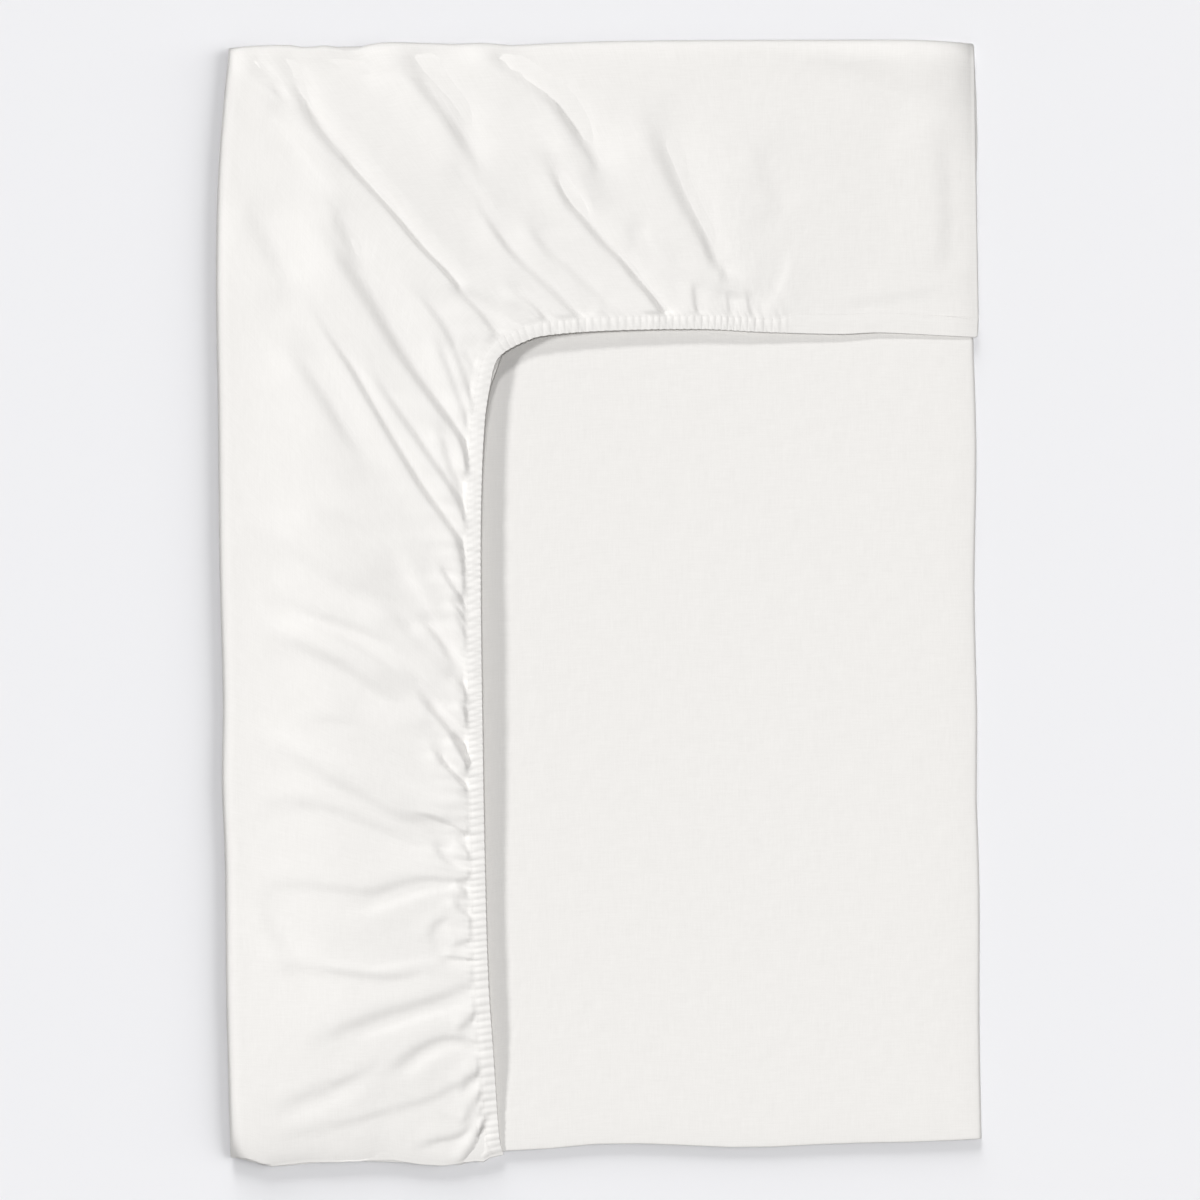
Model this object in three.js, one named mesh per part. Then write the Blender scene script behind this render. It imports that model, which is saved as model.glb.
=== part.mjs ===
// A fitted mattress protector of white cotton, folded in four with its corner pockets inside each other.
// Millimetres, +Z up. It lies flat, with the nested pockets at the far left and the open panel at the right.
// Places on it are given as seen from above: across from the left side, and down from the far side.

import * as THREE from 'three';

// Folded size and cloth
const WIDTH = 703;
const LENGTH = 1027;
const CLOTH = 1.0;
const PITCH = 1.6;
const QUARTERS = 4;

// Casing of the hem, and its gathers over the elastic
const CASING = 12.5;
const HEM_THICK = 1.5;
const RIB_PITCH = 6.6;
const RIB_RISE = 0.45;
const ELASTIC_ENDS_AT = 0.73;

// Rows of the casing from its stitch line to its free edge: how far inside the edge, as a share of its width
const CASING_ROWS = [
  { inside: 1, thick: CLOTH, rise: 0, ribbed: 0 },
  { inside: 0.5, thick: 2.8, rise: 0.6, ribbed: 1 },
  { inside: 0, thick: HEM_THICK, rise: 0, ribbed: 0 },
];

// Fineness of the mesh
const PANEL_COLUMNS = [0, 0.1, 0.22, 0.36, 0.52, 0.68, 0.84, 1];
const PANEL_ROWS = [0, 0.07, 0.16, 0.27, 0.4, 0.54, 0.68, 0.84, 1];
const WALL_STEPS = 5;
const FOLD_STEPS = 5;
const SMALL_FOLD_STEPS = 4;
const HIDDEN_ROWS = [0.18, 0.45, 0.83, 1];
const SKIRT_ROWS = [0.06, 0.18, 0.31, 0.45, 0.58, 0.71, 0.83, 0.93];
const LEFT_LINES = 78;
const TOP_LINES = 32;
const PLAIN_LINES = 5;

// How far each side stands out from a straight one, by the distance along it
const LEFT_SIDE = [
  { at: 4, out: -5.6 },
  { at: 46, out: -1 },
  { at: 120, out: 4.6 },
  { at: 213, out: 6.5 },
  { at: 334, out: 4.6 },
  { at: 473, out: 3.3 },
  { at: 604, out: 0 },
  { at: 678, out: 0.9 },
  { at: 752, out: -1.9 },
  { at: 864, out: -2.8 },
  { at: 976, out: -5.6 },
  { at: 1041, out: -7.4 },
];
const RIGHT_SIDE = [
  { at: 0, out: -2.8 },
  { at: 83, out: 0.9 },
  { at: 232, out: -3.7 },
  { at: 380, out: 0 },
  { at: 511, out: -1.9 },
  { at: 641, out: 0.9 },
  { at: 697, out: 0 },
  { at: 790, out: 2.8 },
  { at: 920, out: 2.8 },
  { at: 1025, out: 4.7 },
];
const TOP_SIDE = [
  { at: 6, out: -3.7 },
  { at: 63, out: -2.8 },
  { at: 121, out: -3.7 },
  { at: 149, out: 0 },
  { at: 203, out: -2.8 },
  { at: 344, out: 0 },
  { at: 400, out: 1.9 },
  { at: 567, out: 1.9 },
  { at: 651, out: 1.9 },
  { at: 700, out: -0.9 },
];
const BOTTOM_SIDE = [
  { at: 6, out: 15 },
  { at: 37, out: 18 },
  { at: 93, out: 15 },
  { at: 149, out: 14 },
  { at: 205, out: 17 },
  { at: 232, out: 14 },
  { at: 249, out: 5 },
  { at: 288, out: 6.5 },
  { at: 316, out: 1.9 },
  { at: 381, out: 0 },
  { at: 484, out: 3.7 },
  { at: 567, out: 0 },
  { at: 651, out: -1.9 },
  { at: 707, out: -4.7 },
];

// The free hem, from its lower end round the inner corner to the right side
const HEM = [
  { across: 261.3, down: 1028 },
  { across: 258, down: 1012 },
  { across: 253, down: 948 },
  { across: 247.8, down: 873 },
  { across: 244.6, down: 762 },
  { across: 242.7, down: 650 },
  { across: 240.9, down: 511 },
  { across: 241.3, down: 427 },
  { across: 244.6, down: 352 },
  { across: 249, down: 315 },
  { across: 256, down: 294, corner: true },
  { across: 268, down: 283 },
  { across: 296, down: 275 },
  { across: 351, down: 270 },
  { across: 444, down: 268 },
  { across: 500, down: 270.5 },
  { across: 575, down: 272.5 },
  { across: 612, down: 271 },
  { across: 677, down: 274 },
  { across: 701, down: 275 },
];

// Where the cloth from a place on the outer side meets the hem, both as shares of their lengths
const LEFT_DRAW = [
  { at: 0, meets: 0 },
  { at: 0.15, meets: 0.22 },
  { at: 0.3, meets: 0.36 },
  { at: 0.5, meets: 0.51 },
  { at: 0.7, meets: 0.67 },
  { at: 0.85, meets: 0.81 },
  { at: 1, meets: 1 },
];
const TOP_DRAW = [
  { at: 0, meets: 0 },
  { at: 0.1, meets: 0.05 },
  { at: 0.25, meets: 0.17 },
  { at: 0.37, meets: 0.31 },
  { at: 0.53, meets: 0.45 },
  { at: 0.73, meets: 0.575 },
  { at: 0.85, meets: 0.76 },
  { at: 1, meets: 1 },
];

// How high the visible skirt puffs above its lowest place, by the share of its outer side
const LEFT_PUFF = [
  { at: 0, rise: 6 },
  { at: 0.2, rise: 7 },
  { at: 0.6, rise: 6.5 },
  { at: 0.8, rise: 5.5 },
  { at: 0.93, rise: 3.5 },
  { at: 1, rise: 1.2 },
];
const TOP_PUFF = [
  { at: 0, rise: 6 },
  { at: 0.3, rise: 6.5 },
  { at: 0.6, rise: 5.5 },
  { at: 0.75, rise: 3.5 },
  { at: 0.87, rise: 1.5 },
  { at: 1, rise: 0 },
];

// Main folds of the visible skirt: first, middle and last place, height (a trough is below zero),
// half width, and the share of the height that it keeps at its last place
const FOLDS = [
  { x1: 8, y1: 23, x2: 60, y2: 76, x3: 110, y3: 143, rise: 1.6, half: 5, keeps: 0 },
  { x1: 50, y1: 8, x2: 122, y2: 112, x3: 243, y3: 246, rise: -3.2, half: 8, keeps: 0.5 },
  { x1: 73, y1: 136, x2: 150, y2: 258, x3: 227, y3: 378, rise: -4, half: 9, keeps: 0.6 },
  { x1: 39, y1: 182, x2: 158, y2: 360, x3: 230, y3: 512, rise: -4.5, half: 7, keeps: 0.9 },
  { x1: 120, y1: 250, x2: 185, y2: 365, x3: 230, y3: 470, rise: 2.6, half: 9, keeps: 0.8 },
  { x1: 193, y1: 271, x2: 214, y2: 321, x3: 230, y3: 354, rise: -2.4, half: 5, keeps: 0.8 },
  { x1: 178, y1: 224, x2: 216, y2: 276, x3: 234, y3: 339, rise: 2, half: 6, keeps: 0.8 },
  { x1: 24, y1: 441, x2: 130, y2: 512, x3: 230, y3: 606, rise: -3.6, half: 13, keeps: 0.9 },
  { x1: 153, y1: 453, x2: 195, y2: 530, x3: 228, y3: 584, rise: 2.4, half: 9, keeps: 0.7 },
  { x1: 29, y1: 508, x2: 110, y2: 560, x3: 190, y3: 604, rise: 2.6, half: 9, keeps: 0.3 },
  { x1: 36, y1: 539, x2: 130, y2: 592, x3: 228, y3: 666, rise: -3, half: 9, keeps: 0.9 },
  { x1: 17, y1: 584, x2: 66, y2: 650, x3: 166, y3: 686, rise: 3, half: 9, keeps: 0.2 },
  { x1: 29, y1: 634, x2: 110, y2: 695, x3: 228, y3: 737, rise: -3, half: 10, keeps: 0.8 },
  { x1: 29, y1: 710, x2: 116, y2: 722, x3: 228, y3: 769, rise: -2, half: 8, keeps: 0.8 },
  { x1: 32, y1: 797, x2: 120, y2: 789, x3: 230, y3: 774, rise: -2.6, half: 8, keeps: 0.9 },
  { x1: 49, y1: 827, x2: 128, y2: 831, x3: 212, y3: 822, rise: 3, half: 16, keeps: 0.5 },
  { x1: 66, y1: 862, x2: 140, y2: 869, x3: 228, y3: 852, rise: -2.8, half: 8, keeps: 0.8 },
  { x1: 84, y1: 936, x2: 140, y2: 910, x3: 230, y3: 876, rise: -2.4, half: 9, keeps: 0.9 },
  { x1: 42, y1: 995, x2: 140, y2: 956, x3: 232, y3: 926, rise: -2.4, half: 9, keeps: 0.8 },
  { x1: 27, y1: 1020, x2: 133, y2: 998, x3: 236, y3: 966, rise: -2, half: 8, keeps: 0.8 },
  { x1: 172, y1: 13, x2: 246, y2: 146, x3: 326, y3: 253, rise: -3.4, half: 9, keeps: 0.5 },
  { x1: 246, y1: 10, x2: 305, y2: 52, x3: 344, y3: 110, rise: -2.4, half: 8, keeps: 0 },
  { x1: 299, y1: 113, x2: 341, y2: 178, x3: 408, y3: 252, rise: -3, half: 8, keeps: 0.9 },
  { x1: 382, y1: 68, x2: 430, y2: 150, x3: 464, y3: 252, rise: -3.2, half: 9, keeps: 0.8 },
  { x1: 470, y1: 240, x2: 487, y2: 228, x3: 503, y3: 246, rise: 2.6, half: 8, keeps: 0.6 },
  { x1: 492, y1: 95, x2: 522, y2: 170, x3: 512, y3: 256, rise: -1.6, half: 9, keeps: 0.6 },
];

// Distances worked out from the sizes above
const WALL_INSET = (QUARTERS - 0.5) * PITCH + CLOTH / 2;
const RIGHT_INSET = 1.5 * PITCH + CLOTH / 2;
const BOTTOM_INSET = 0.5 * PITCH + CLOTH / 2;

const { lerp, smoothstep, clamp } = THREE.MathUtils;

// The value of a table's column on a smooth line through its rows
function reading(rows, at, column) {
  const last = rows.length - 1;
  const place = clamp(at, rows[0].at, rows[last].at);
  const found = rows.findIndex((row) => row.at >= place);
  const right = Math.max(found, 1);
  const near = [right - 2, right - 1, right, right + 1].map((i) => rows[clamp(i, 0, last)]);
  const [before, from, to, after] = near;
  const span = to.at - from.at;
  const t = (place - from.at) / span;
  const leave = (span * (to[column] - before[column])) / (to.at - before.at);
  const arrive = (span * (after[column] - from[column])) / (after.at - from.at);
  const t2 = t * t;
  const t3 = t2 * t;
  return (
    (2 * t3 - 3 * t2 + 1) * from[column] +
    (t3 - 2 * t2 + t) * leave +
    (3 * t2 - 2 * t3) * to[column] +
    (t3 - t2) * arrive
  );
}

const level = (layer) => CLOTH / 2 + (layer - 1) * PITCH;

// A place on the panels, by the share of the width and the share of the length
function panelPlace(a, b) {
  const across = lerp(WALL_INSET, WIDTH - RIGHT_INSET, a);
  const down = lerp(WALL_INSET, LENGTH - BOTTOM_INSET, b);
  const left = WALL_INSET - reading(LEFT_SIDE, down, 'out');
  const right = WIDTH - RIGHT_INSET + reading(RIGHT_SIDE, down, 'out');
  const top = WALL_INSET - reading(TOP_SIDE, across, 'out');
  const bottom = LENGTH - BOTTOM_INSET + reading(BOTTOM_SIDE, across, 'out');
  return new THREE.Vector3(lerp(left, right, a), lerp(top, bottom, b), 0);
}

// The hem as one curve, with the share of its length at which the corner seam meets it
const hemCurve = new THREE.CatmullRomCurve3(HEM.map((row) => new THREE.Vector3(row.across, row.down, 0)));
hemCurve.arcLengthDivisions = 600;
const hemLengths = hemCurve.getLengths(600);
const hemLength = hemLengths[600];
const cornerRow = HEM.findIndex((row) => row.corner);
const cornerShare = hemLengths[Math.round((600 * cornerRow) / (HEM.length - 1))] / hemLength;

// A place on the casing, by the share of one side's hem from the corner and the distance inside the free edge
function casingPlace(side, meets, inside) {
  const share = side === 'left' ? cornerShare * (1 - meets) : lerp(cornerShare, 1, meets);
  const place = hemCurve.getPointAt(clamp(share, 0, 1));
  const run = hemCurve.getTangentAt(clamp(share, 0, 1));
  return new THREE.Vector3(place.x + run.y * inside, place.y - run.x * inside, 0);
}

// Height of the main folds at a place
const foldLines = FOLDS.map((fold) => {
  const first = new THREE.Vector2(fold.x1, fold.y1);
  const middle = new THREE.Vector2(fold.x2, fold.y2);
  const end = new THREE.Vector2(fold.x3, fold.y3);
  const curve = new THREE.SplineCurve([first, middle, end]);
  return { ...fold, places: curve.getPoints(24) };
});

function foldHeight(place) {
  let height = 0;
  for (const fold of foldLines) {
    let nearest = Infinity;
    let share = 0;
    fold.places.forEach((on, i) => {
      const far = Math.hypot(on.x - place.x, on.y - place.y);
      if (far < nearest) {
        nearest = far;
        share = i / (fold.places.length - 1);
      }
    });
    const start = smoothstep(share, 0, 0.3);
    const end = lerp(1, fold.keeps, smoothstep(share, 0.7, 1));
    height += fold.rise * start * end * Math.exp(-((nearest / fold.half) ** 2));
  }
  return height;
}

// Height of the visible skirt above its lowest place
function skirtRise(side, along, t, place) {
  const puff = reading(side === 'left' ? LEFT_PUFF : TOP_PUFF, along, 'rise');
  const shape = 0.8 * smoothstep(t, 0, 0.5) + 0.2 * t;
  const free = side === 'top' ? smoothstep(1 - along, 0, 0.12) : lerp(0.3, 1, smoothstep(1 - along, 0, 0.06));
  const folds = foldHeight(place) * free * smoothstep(t, 0, 0.08);
  return Math.max(puff * shape + folds, 0);
}

// Middle surface of the cloth: vertices with their own thickness, and triangles between rows of them
const places = [];
const thickness = [];
const triangles = [];

function vertex(place, thick = CLOTH) {
  places.push(place);
  thickness.push(thick);
  return places.length - 1;
}

// A row is a list of { at, id }, with at growing along it. Two rows may have different counts.
function stitch(first, second) {
  let i = 0;
  let j = 0;
  while (i < first.length - 1 || j < second.length - 1) {
    const nextFirst = i < first.length - 1 ? (first[i].at + first[i + 1].at) / 2 : Infinity;
    const nextSecond = j < second.length - 1 ? (second[j].at + second[j + 1].at) / 2 : Infinity;
    if (nextFirst <= nextSecond) {
      triangles.push([first[i].id, first[i + 1].id, second[j].id]);
      i += 1;
    } else {
      triangles.push([first[i].id, second[j + 1].id, second[j].id]);
      j += 1;
    }
  }
}

function stitchAll(rows) {
  for (let i = 0; i < rows.length - 1; i += 1) {
    stitch(rows[i], rows[i + 1]);
  }
}

// One quarter's panel: a grid of rows
function makePanel(quarter) {
  const rows = PANEL_ROWS.map((b) =>
    PANEL_COLUMNS.map((a) => {
      const place = panelPlace(a, b);
      place.z = level(quarter);
      return { at: a, id: vertex(place) };
    }),
  );
  stitchAll(rows);
  return rows;
}

// A place on the wall between a quarter's panel and its skirt, w from 0 to 1
function wallPlace(quarter, side, along, w) {
  const place = side === 'left' ? panelPlace(0, along) : panelPlace(along, 0);
  const radius = (QUARTERS + 0.5 - quarter) * PITCH;
  const bulge = radius * Math.sin(w * Math.PI);
  const atCorner = along === 0;
  place.x -= side === 'left' || atCorner ? bulge : 0;
  place.y -= side === 'top' || atCorner ? bulge : 0;
  place.z = level(QUARTERS + 0.5) - radius * Math.cos(w * Math.PI);
  return place;
}

// A place on a quarter's skirt between its outer side, t = 0, and the stitch line of its casing, t = 1
function skirtPlace(quarter, side, along, t) {
  const outer = wallPlace(quarter, side, along, 1);
  const meets = reading(side === 'left' ? LEFT_DRAW : TOP_DRAW, along, 'meets');
  const inner = casingPlace(side, meets, CASING);
  const place = new THREE.Vector3().lerpVectors(outer, inner, t);
  if (side === 'left') {
    const lowest = LENGTH - BOTTOM_INSET + reading(BOTTOM_SIDE, place.x, 'out');
    const straight = lerp(wallPlace(quarter, side, 1, 1).y, casingPlace(side, 1, CASING).y, t);
    place.y += (lowest - straight) * smoothstep(along, 0.88, 1);
  }
  place.z = level(2 * QUARTERS + 1 - quarter);
  if (quarter === 1) {
    place.z += skirtRise(side, along, t, place);
  }
  return place;
}

// Both sides of a quarter: the wall, the skirt and, on the first quarter, the fine skirt and its casing
function makeSide(quarter, side, edge, seam) {
  const rows = [edge];
  const addRow = (lines, placeOf, thickOf = () => CLOTH) => {
    const row = lines.map((line, i) => {
      const shared = i === 0 ? seam[rows.length] : undefined;
      return { at: line.at, id: shared ?? vertex(placeOf(line), thickOf(line, i)) };
    });
    rows.push(row);
  };
  const coarse = edge.map((point) => ({ at: point.at }));
  for (let step = 1; step <= WALL_STEPS; step += 1) {
    addRow(coarse, (line) => wallPlace(quarter, side, line.at, step / WALL_STEPS));
  }
  if (quarter > 1) {
    HIDDEN_ROWS.forEach((t) => addRow(coarse, (line) => skirtPlace(quarter, side, line.at, t)));
    stitchAll(rows);
    return rows;
  }

  const fine = fineLines(side);
  SKIRT_ROWS.forEach((t) => addRow(fine, (line) => skirtPlace(quarter, side, line.at, t)));
  stitchAll(rows);

  // From here on rows go by their share of the hem
  const draw = side === 'left' ? LEFT_DRAW : TOP_DRAW;
  const lastSkirt = rows[rows.length - 1];
  const toHem = lastSkirt.map((point) => ({ at: reading(draw, point.at, 'meets'), id: point.id }));
  const ribs = ribLines(side);
  const firstCasing = rows.length;
  const hemRise = (line) => {
    const along = outerShare(draw, line.at);
    const place = casingPlace(side, line.at, CASING);
    return level(2 * QUARTERS) + skirtRise(side, along, 1, place);
  };
  CASING_ROWS.forEach(({ inside, thick, rise, ribbed }) => {
    addRow(
      ribs,
      (line) => {
        const place = casingPlace(side, line.at, CASING * inside);
        place.z = hemRise(line) + rise + ribbed * line.rib * RIB_RISE;
        return place;
      },
      (line) => lerp(Math.min(thick, HEM_THICK), thick, line.gathered),
    );
  });
  stitch(toHem, rows[firstCasing]);
  stitchAll(rows.slice(firstCasing));
  return rows;
}

// The share of the outer side whose cloth meets a share of the hem
function outerShare(draw, meets) {
  let low = 0;
  let high = 1;
  for (let i = 0; i < 24; i += 1) {
    const middle = (low + high) / 2;
    if (reading(draw, middle, 'meets') < meets) {
      low = middle;
    } else {
      high = middle;
    }
  }
  return (low + high) / 2;
}

// Lines across the visible skirt, close together where it is gathered
function fineLines(side) {
  if (side === 'left') {
    return Array.from({ length: LEFT_LINES + 1 }, (_, i) => ({ at: i / LEFT_LINES }));
  }
  const gathered = Array.from({ length: TOP_LINES }, (_, i) => ({ at: (ELASTIC_ENDS_AT * i) / TOP_LINES }));
  const plain = Array.from({ length: PLAIN_LINES + 1 }, (_, i) => {
    return { at: lerp(ELASTIC_ENDS_AT, 1, i / PLAIN_LINES) };
  });
  return [...gathered, ...plain];
}

// Lines across the casing: two for each gathered rib, one up and one down
function ribLines(side) {
  const draw = side === 'left' ? LEFT_DRAW : TOP_DRAW;
  const length = hemLength * (side === 'left' ? cornerShare : 1 - cornerShare);
  const end = side === 'left' ? 1 : reading(draw, ELASTIC_ENDS_AT, 'meets');
  const count = 2 * Math.round((end * length) / RIB_PITCH);
  const lines = Array.from({ length: count + 1 }, (_, i) => ({
    at: (end * i) / count,
    rib: i % 2 === 0 ? 1 : -1,
    gathered: 1,
  }));
  if (side === 'top') {
    for (let i = 1; i <= PLAIN_LINES; i += 1) {
      lines.push({ at: lerp(end, 1, i / PLAIN_LINES), rib: 0, gathered: 0 });
    }
  }
  return lines;
}

// A whole quarter, with the two lines along which it joins its neighbours
function makeQuarter(quarter) {
  const panel = makePanel(quarter);
  const topEdge = panel[0];
  const leftEdge = panel.map((row, i) => ({ at: PANEL_ROWS[i], id: row[0].id }));
  const top = makeSide(quarter, 'top', topEdge, []);
  const seam = top.map((row) => row[0].id);
  const left = makeSide(quarter, 'left', leftEdge, seam);

  // Both lines end at the casing, whose ends are free
  const skirtShares = quarter === 1 ? [...SKIRT_ROWS, 1] : HIDDEN_ROWS;
  const joined = 1 + WALL_STEPS + skirtShares.length;
  const shareOfRow = (i) => (i <= WALL_STEPS ? 1 + i / WALL_STEPS : 2 + skirtShares[i - WALL_STEPS - 1]);
  const lastOf = (row) => row[row.length - 1].id;
  const rightLine = panel.map((row, i) => ({ at: 1 - PANEL_ROWS[i], id: lastOf(row) })).reverse();
  const bottomRow = panel[panel.length - 1];
  const bottomLine = bottomRow.map((point) => ({ at: 1 - point.at, id: point.id })).reverse();
  top.slice(1, joined).forEach((row, i) => rightLine.push({ at: shareOfRow(i + 1), id: lastOf(row) }));
  left.slice(1, joined).forEach((row, i) => bottomLine.push({ at: shareOfRow(i + 1), id: lastOf(row) }));
  return { rightLine, bottomLine };
}

// The point of a fine line that lies at a coarse line's point, or nearest to it
function matching(line, at) {
  return line.reduce((best, point) => (Math.abs(point.at - at) < Math.abs(best.at - at) ? point : best));
}

// Puts the points of a fine line that a coarse line lacks straight between those that it has
function straighten(fineLine, coarseLine) {
  for (let i = 0; i < coarseLine.length - 1; i += 1) {
    const from = matching(fineLine, coarseLine[i].at);
    const to = matching(fineLine, coarseLine[i + 1].at);
    const between = fineLine.filter((point) => point.at > from.at && point.at < to.at);
    between.forEach((point) => {
      const share = (point.at - from.at) / (to.at - from.at);
      places[point.id].lerpVectors(places[from.id], places[to.id], share);
    });
  }
}

// A rounded fold that joins two quarters' lines and bulges along one direction
function makeFold(fromLine, toLine, outward, radius, steps) {
  const rows = [fromLine];
  for (let step = 1; step < steps; step += 1) {
    const turn = (Math.PI * step) / steps;
    const row = toLine.map((point) => {
      const from = places[matching(fromLine, point.at).id];
      const to = places[point.id];
      const place = new THREE.Vector3().lerpVectors(from, to, (1 - Math.cos(turn)) / 2);
      place.addScaledVector(outward, radius * Math.sin(turn));
      return { at: point.at, id: vertex(place) };
    });
    rows.push(row);
  }
  rows.push(toLine);
  stitchAll(rows);
  return rows.map((row) => row[0].id);
}

// The middle of the sheet, where both folds cross: a small fold carried round the large one
function makeCentre(start, end, outer, inner) {
  const rows = [];
  const across = new THREE.Vector3(1, 0, 0);
  const towards = new THREE.Vector3(0, 1, 0);
  const axis = new THREE.Vector3().lerpVectors(places[outer[0]], places[outer[FOLD_STEPS]], 0.5);
  for (let i = 0; i <= FOLD_STEPS; i += 1) {
    const turn = (Math.PI * i) / FOLD_STEPS;
    const out = new THREE.Vector3(0, 0, -Math.cos(turn)).addScaledVector(across, Math.sin(turn));
    const row = [];
    for (let j = 0; j <= SMALL_FOLD_STEPS; j += 1) {
      const bend = (Math.PI * j) / SMALL_FOLD_STEPS;
      let id;
      if (i === 0) {
        id = start[j];
      } else if (i === FOLD_STEPS) {
        id = end[j];
      } else if (j === 0) {
        id = outer[i];
      } else if (j === SMALL_FOLD_STEPS) {
        id = inner[i];
      } else {
        const place = axis.clone().addScaledVector(out, PITCH * (1 + 0.5 * Math.cos(bend)));
        place.addScaledVector(towards, 0.5 * PITCH * Math.sin(bend));
        id = vertex(place);
      }
      row.push({ at: j, id });
    }
    rows.push(row);
  }
  stitchAll(rows);
}

// Turns every triangle the same way round as its neighbours
function alignTriangles() {
  const byEdge = new Map();
  const edgeKey = (a, b) => (a < b ? `${a} ${b}` : `${b} ${a}`);
  const corners = [0, 1, 2];
  triangles.forEach((triangle, index) => {
    corners.forEach((i) => {
      const key = edgeKey(triangle[i], triangle[(i + 1) % 3]);
      byEdge.set(key, [...(byEdge.get(key) ?? []), index]);
    });
  });
  const runsAlong = (triangle, a, b) => corners.some((i) => triangle[i] === a && triangle[(i + 1) % 3] === b);
  const done = new Set([0]);
  const waiting = [0];
  while (waiting.length > 0) {
    const index = waiting.pop();
    const triangle = triangles[index];
    corners.forEach((i) => {
      const a = triangle[i];
      const b = triangle[(i + 1) % 3];
      byEdge.get(edgeKey(a, b)).forEach((other) => {
        if (done.has(other)) {
          return;
        }
        if (runsAlong(triangles[other], a, b)) {
          triangles[other].reverse();
        }
        done.add(other);
        waiting.push(other);
      });
    });
  }
  return byEdge;
}

// Gives the middle surface its thickness on both sides and closes its free edges
function thicken() {
  const byEdge = alignTriangles();
  const normals = places.map(() => new THREE.Vector3());
  triangles.forEach(([a, b, c]) => {
    const first = new THREE.Vector3().subVectors(places[b], places[a]);
    const second = new THREE.Vector3().subVectors(places[c], places[a]);
    const face = first.cross(second);
    [a, b, c].forEach((id) => normals[id].add(face));
  });
  const half = places.length;
  const positions = [];
  [1, -1].forEach((way) => {
    places.forEach((place, id) => {
      const normal = normals[id].clone().normalize();
      const moved = place.clone().addScaledVector(normal, (way * thickness[id]) / 2);
      positions.push(moved.x, -moved.y, moved.z);
    });
  });
  const index = [];
  triangles.forEach(([a, b, c]) => {
    index.push(a, c, b);
    index.push(a + half, b + half, c + half);
    [[a, b], [b, c], [c, a]].forEach(([from, to]) => {
      const key = from < to ? `${from} ${to}` : `${to} ${from}`;
      if (byEdge.get(key).length === 1) {
        index.push(from, to, to + half);
        index.push(from, to + half, from + half);
      }
    });
  });
  const geometry = new THREE.BufferGeometry();
  geometry.setAttribute('position', new THREE.Float32BufferAttribute(positions, 3));
  geometry.setIndex(index);
  geometry.computeVertexNormals();
  return geometry;
}

// The sheet: four quarters, joined by the folds between them
function makeProtector() {
  const quarters = [1, 2, 3, 4].map((quarter) => makeQuarter(quarter));
  const [first, second, third, fourth] = quarters;
  const right = new THREE.Vector3(1, 0, 0);
  const near = new THREE.Vector3(0, 1, 0);
  straighten(first.rightLine, fourth.rightLine);
  straighten(first.bottomLine, second.bottomLine);
  const outer = makeFold(first.rightLine, fourth.rightLine, right, 1.5 * PITCH, FOLD_STEPS);
  const inner = makeFold(second.rightLine, third.rightLine, right, 0.5 * PITCH, FOLD_STEPS);
  const start = makeFold(first.bottomLine, second.bottomLine, near, 0.5 * PITCH, SMALL_FOLD_STEPS);
  const end = makeFold(fourth.bottomLine, third.bottomLine, near, 0.5 * PITCH, SMALL_FOLD_STEPS);
  makeCentre(start, end, outer, inner);
  return thicken();
}

const cotton = new THREE.MeshStandardMaterial({ color: 0xf3efec, roughness: 0.92, metalness: 0 });

const protector = new THREE.Mesh(makeProtector(), cotton);
protector.name = 'protector';

// The origin is under the middle of the folded protector
protector.geometry.computeBoundingBox();
const box = protector.geometry.boundingBox;
const middle = box.getCenter(new THREE.Vector3());
protector.position.set(-middle.x, -middle.y, -box.min.z);

const group = new THREE.Group();
group.add(protector);

export default group;
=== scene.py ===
"""A folded fitted mattress protector of white cotton, laid flat under soft studio light.

The cloth is cut flat, with its four corners cut out, and then folded by formula: each point of the cut
is moved to where it lies in the folded stack. Lengths are millimetres until a mesh is finished.
"""

import math
from collections import namedtuple

import bmesh
import bpy
import numpy as np
from bpy.props import FloatProperty, FloatVectorProperty, PointerProperty
from mathutils import Matrix, Vector


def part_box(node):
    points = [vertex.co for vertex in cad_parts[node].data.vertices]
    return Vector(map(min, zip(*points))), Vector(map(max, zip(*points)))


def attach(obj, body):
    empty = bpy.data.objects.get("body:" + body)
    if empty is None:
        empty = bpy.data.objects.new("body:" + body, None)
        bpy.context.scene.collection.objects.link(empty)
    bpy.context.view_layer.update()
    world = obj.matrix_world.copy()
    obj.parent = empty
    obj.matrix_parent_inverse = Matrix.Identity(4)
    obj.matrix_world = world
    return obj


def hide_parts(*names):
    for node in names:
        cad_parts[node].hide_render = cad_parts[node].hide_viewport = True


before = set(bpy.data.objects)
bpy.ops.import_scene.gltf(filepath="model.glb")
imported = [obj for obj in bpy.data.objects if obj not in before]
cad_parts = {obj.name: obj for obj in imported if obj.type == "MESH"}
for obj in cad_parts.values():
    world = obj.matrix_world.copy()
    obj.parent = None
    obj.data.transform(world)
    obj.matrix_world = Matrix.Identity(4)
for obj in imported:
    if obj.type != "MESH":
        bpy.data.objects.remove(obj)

bl_info = {
    "name": "Folded mattress protector",
    "version": (1, 0, 0),
    "blender": (4, 5, 0),
    "location": "View3D > Sidebar > Protector",
    "description": "Makes a fitted cotton mattress protector, folded in four, and its studio",
    "category": "Object",
}

MM = 0.001

# Places on the folded cloth are in mm across from its left side and down from its far side.
# The solid's box reaches a little past both.
BOX_LOW, BOX_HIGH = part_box("protector")
REACH_LEFT = 5.8
REACH_FAR = 1.8
ORIGIN_ACROSS = -BOX_LOW[0] / MM - REACH_LEFT
ORIGIN_DOWN = BOX_HIGH[1] / MM - REACH_FAR

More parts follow.
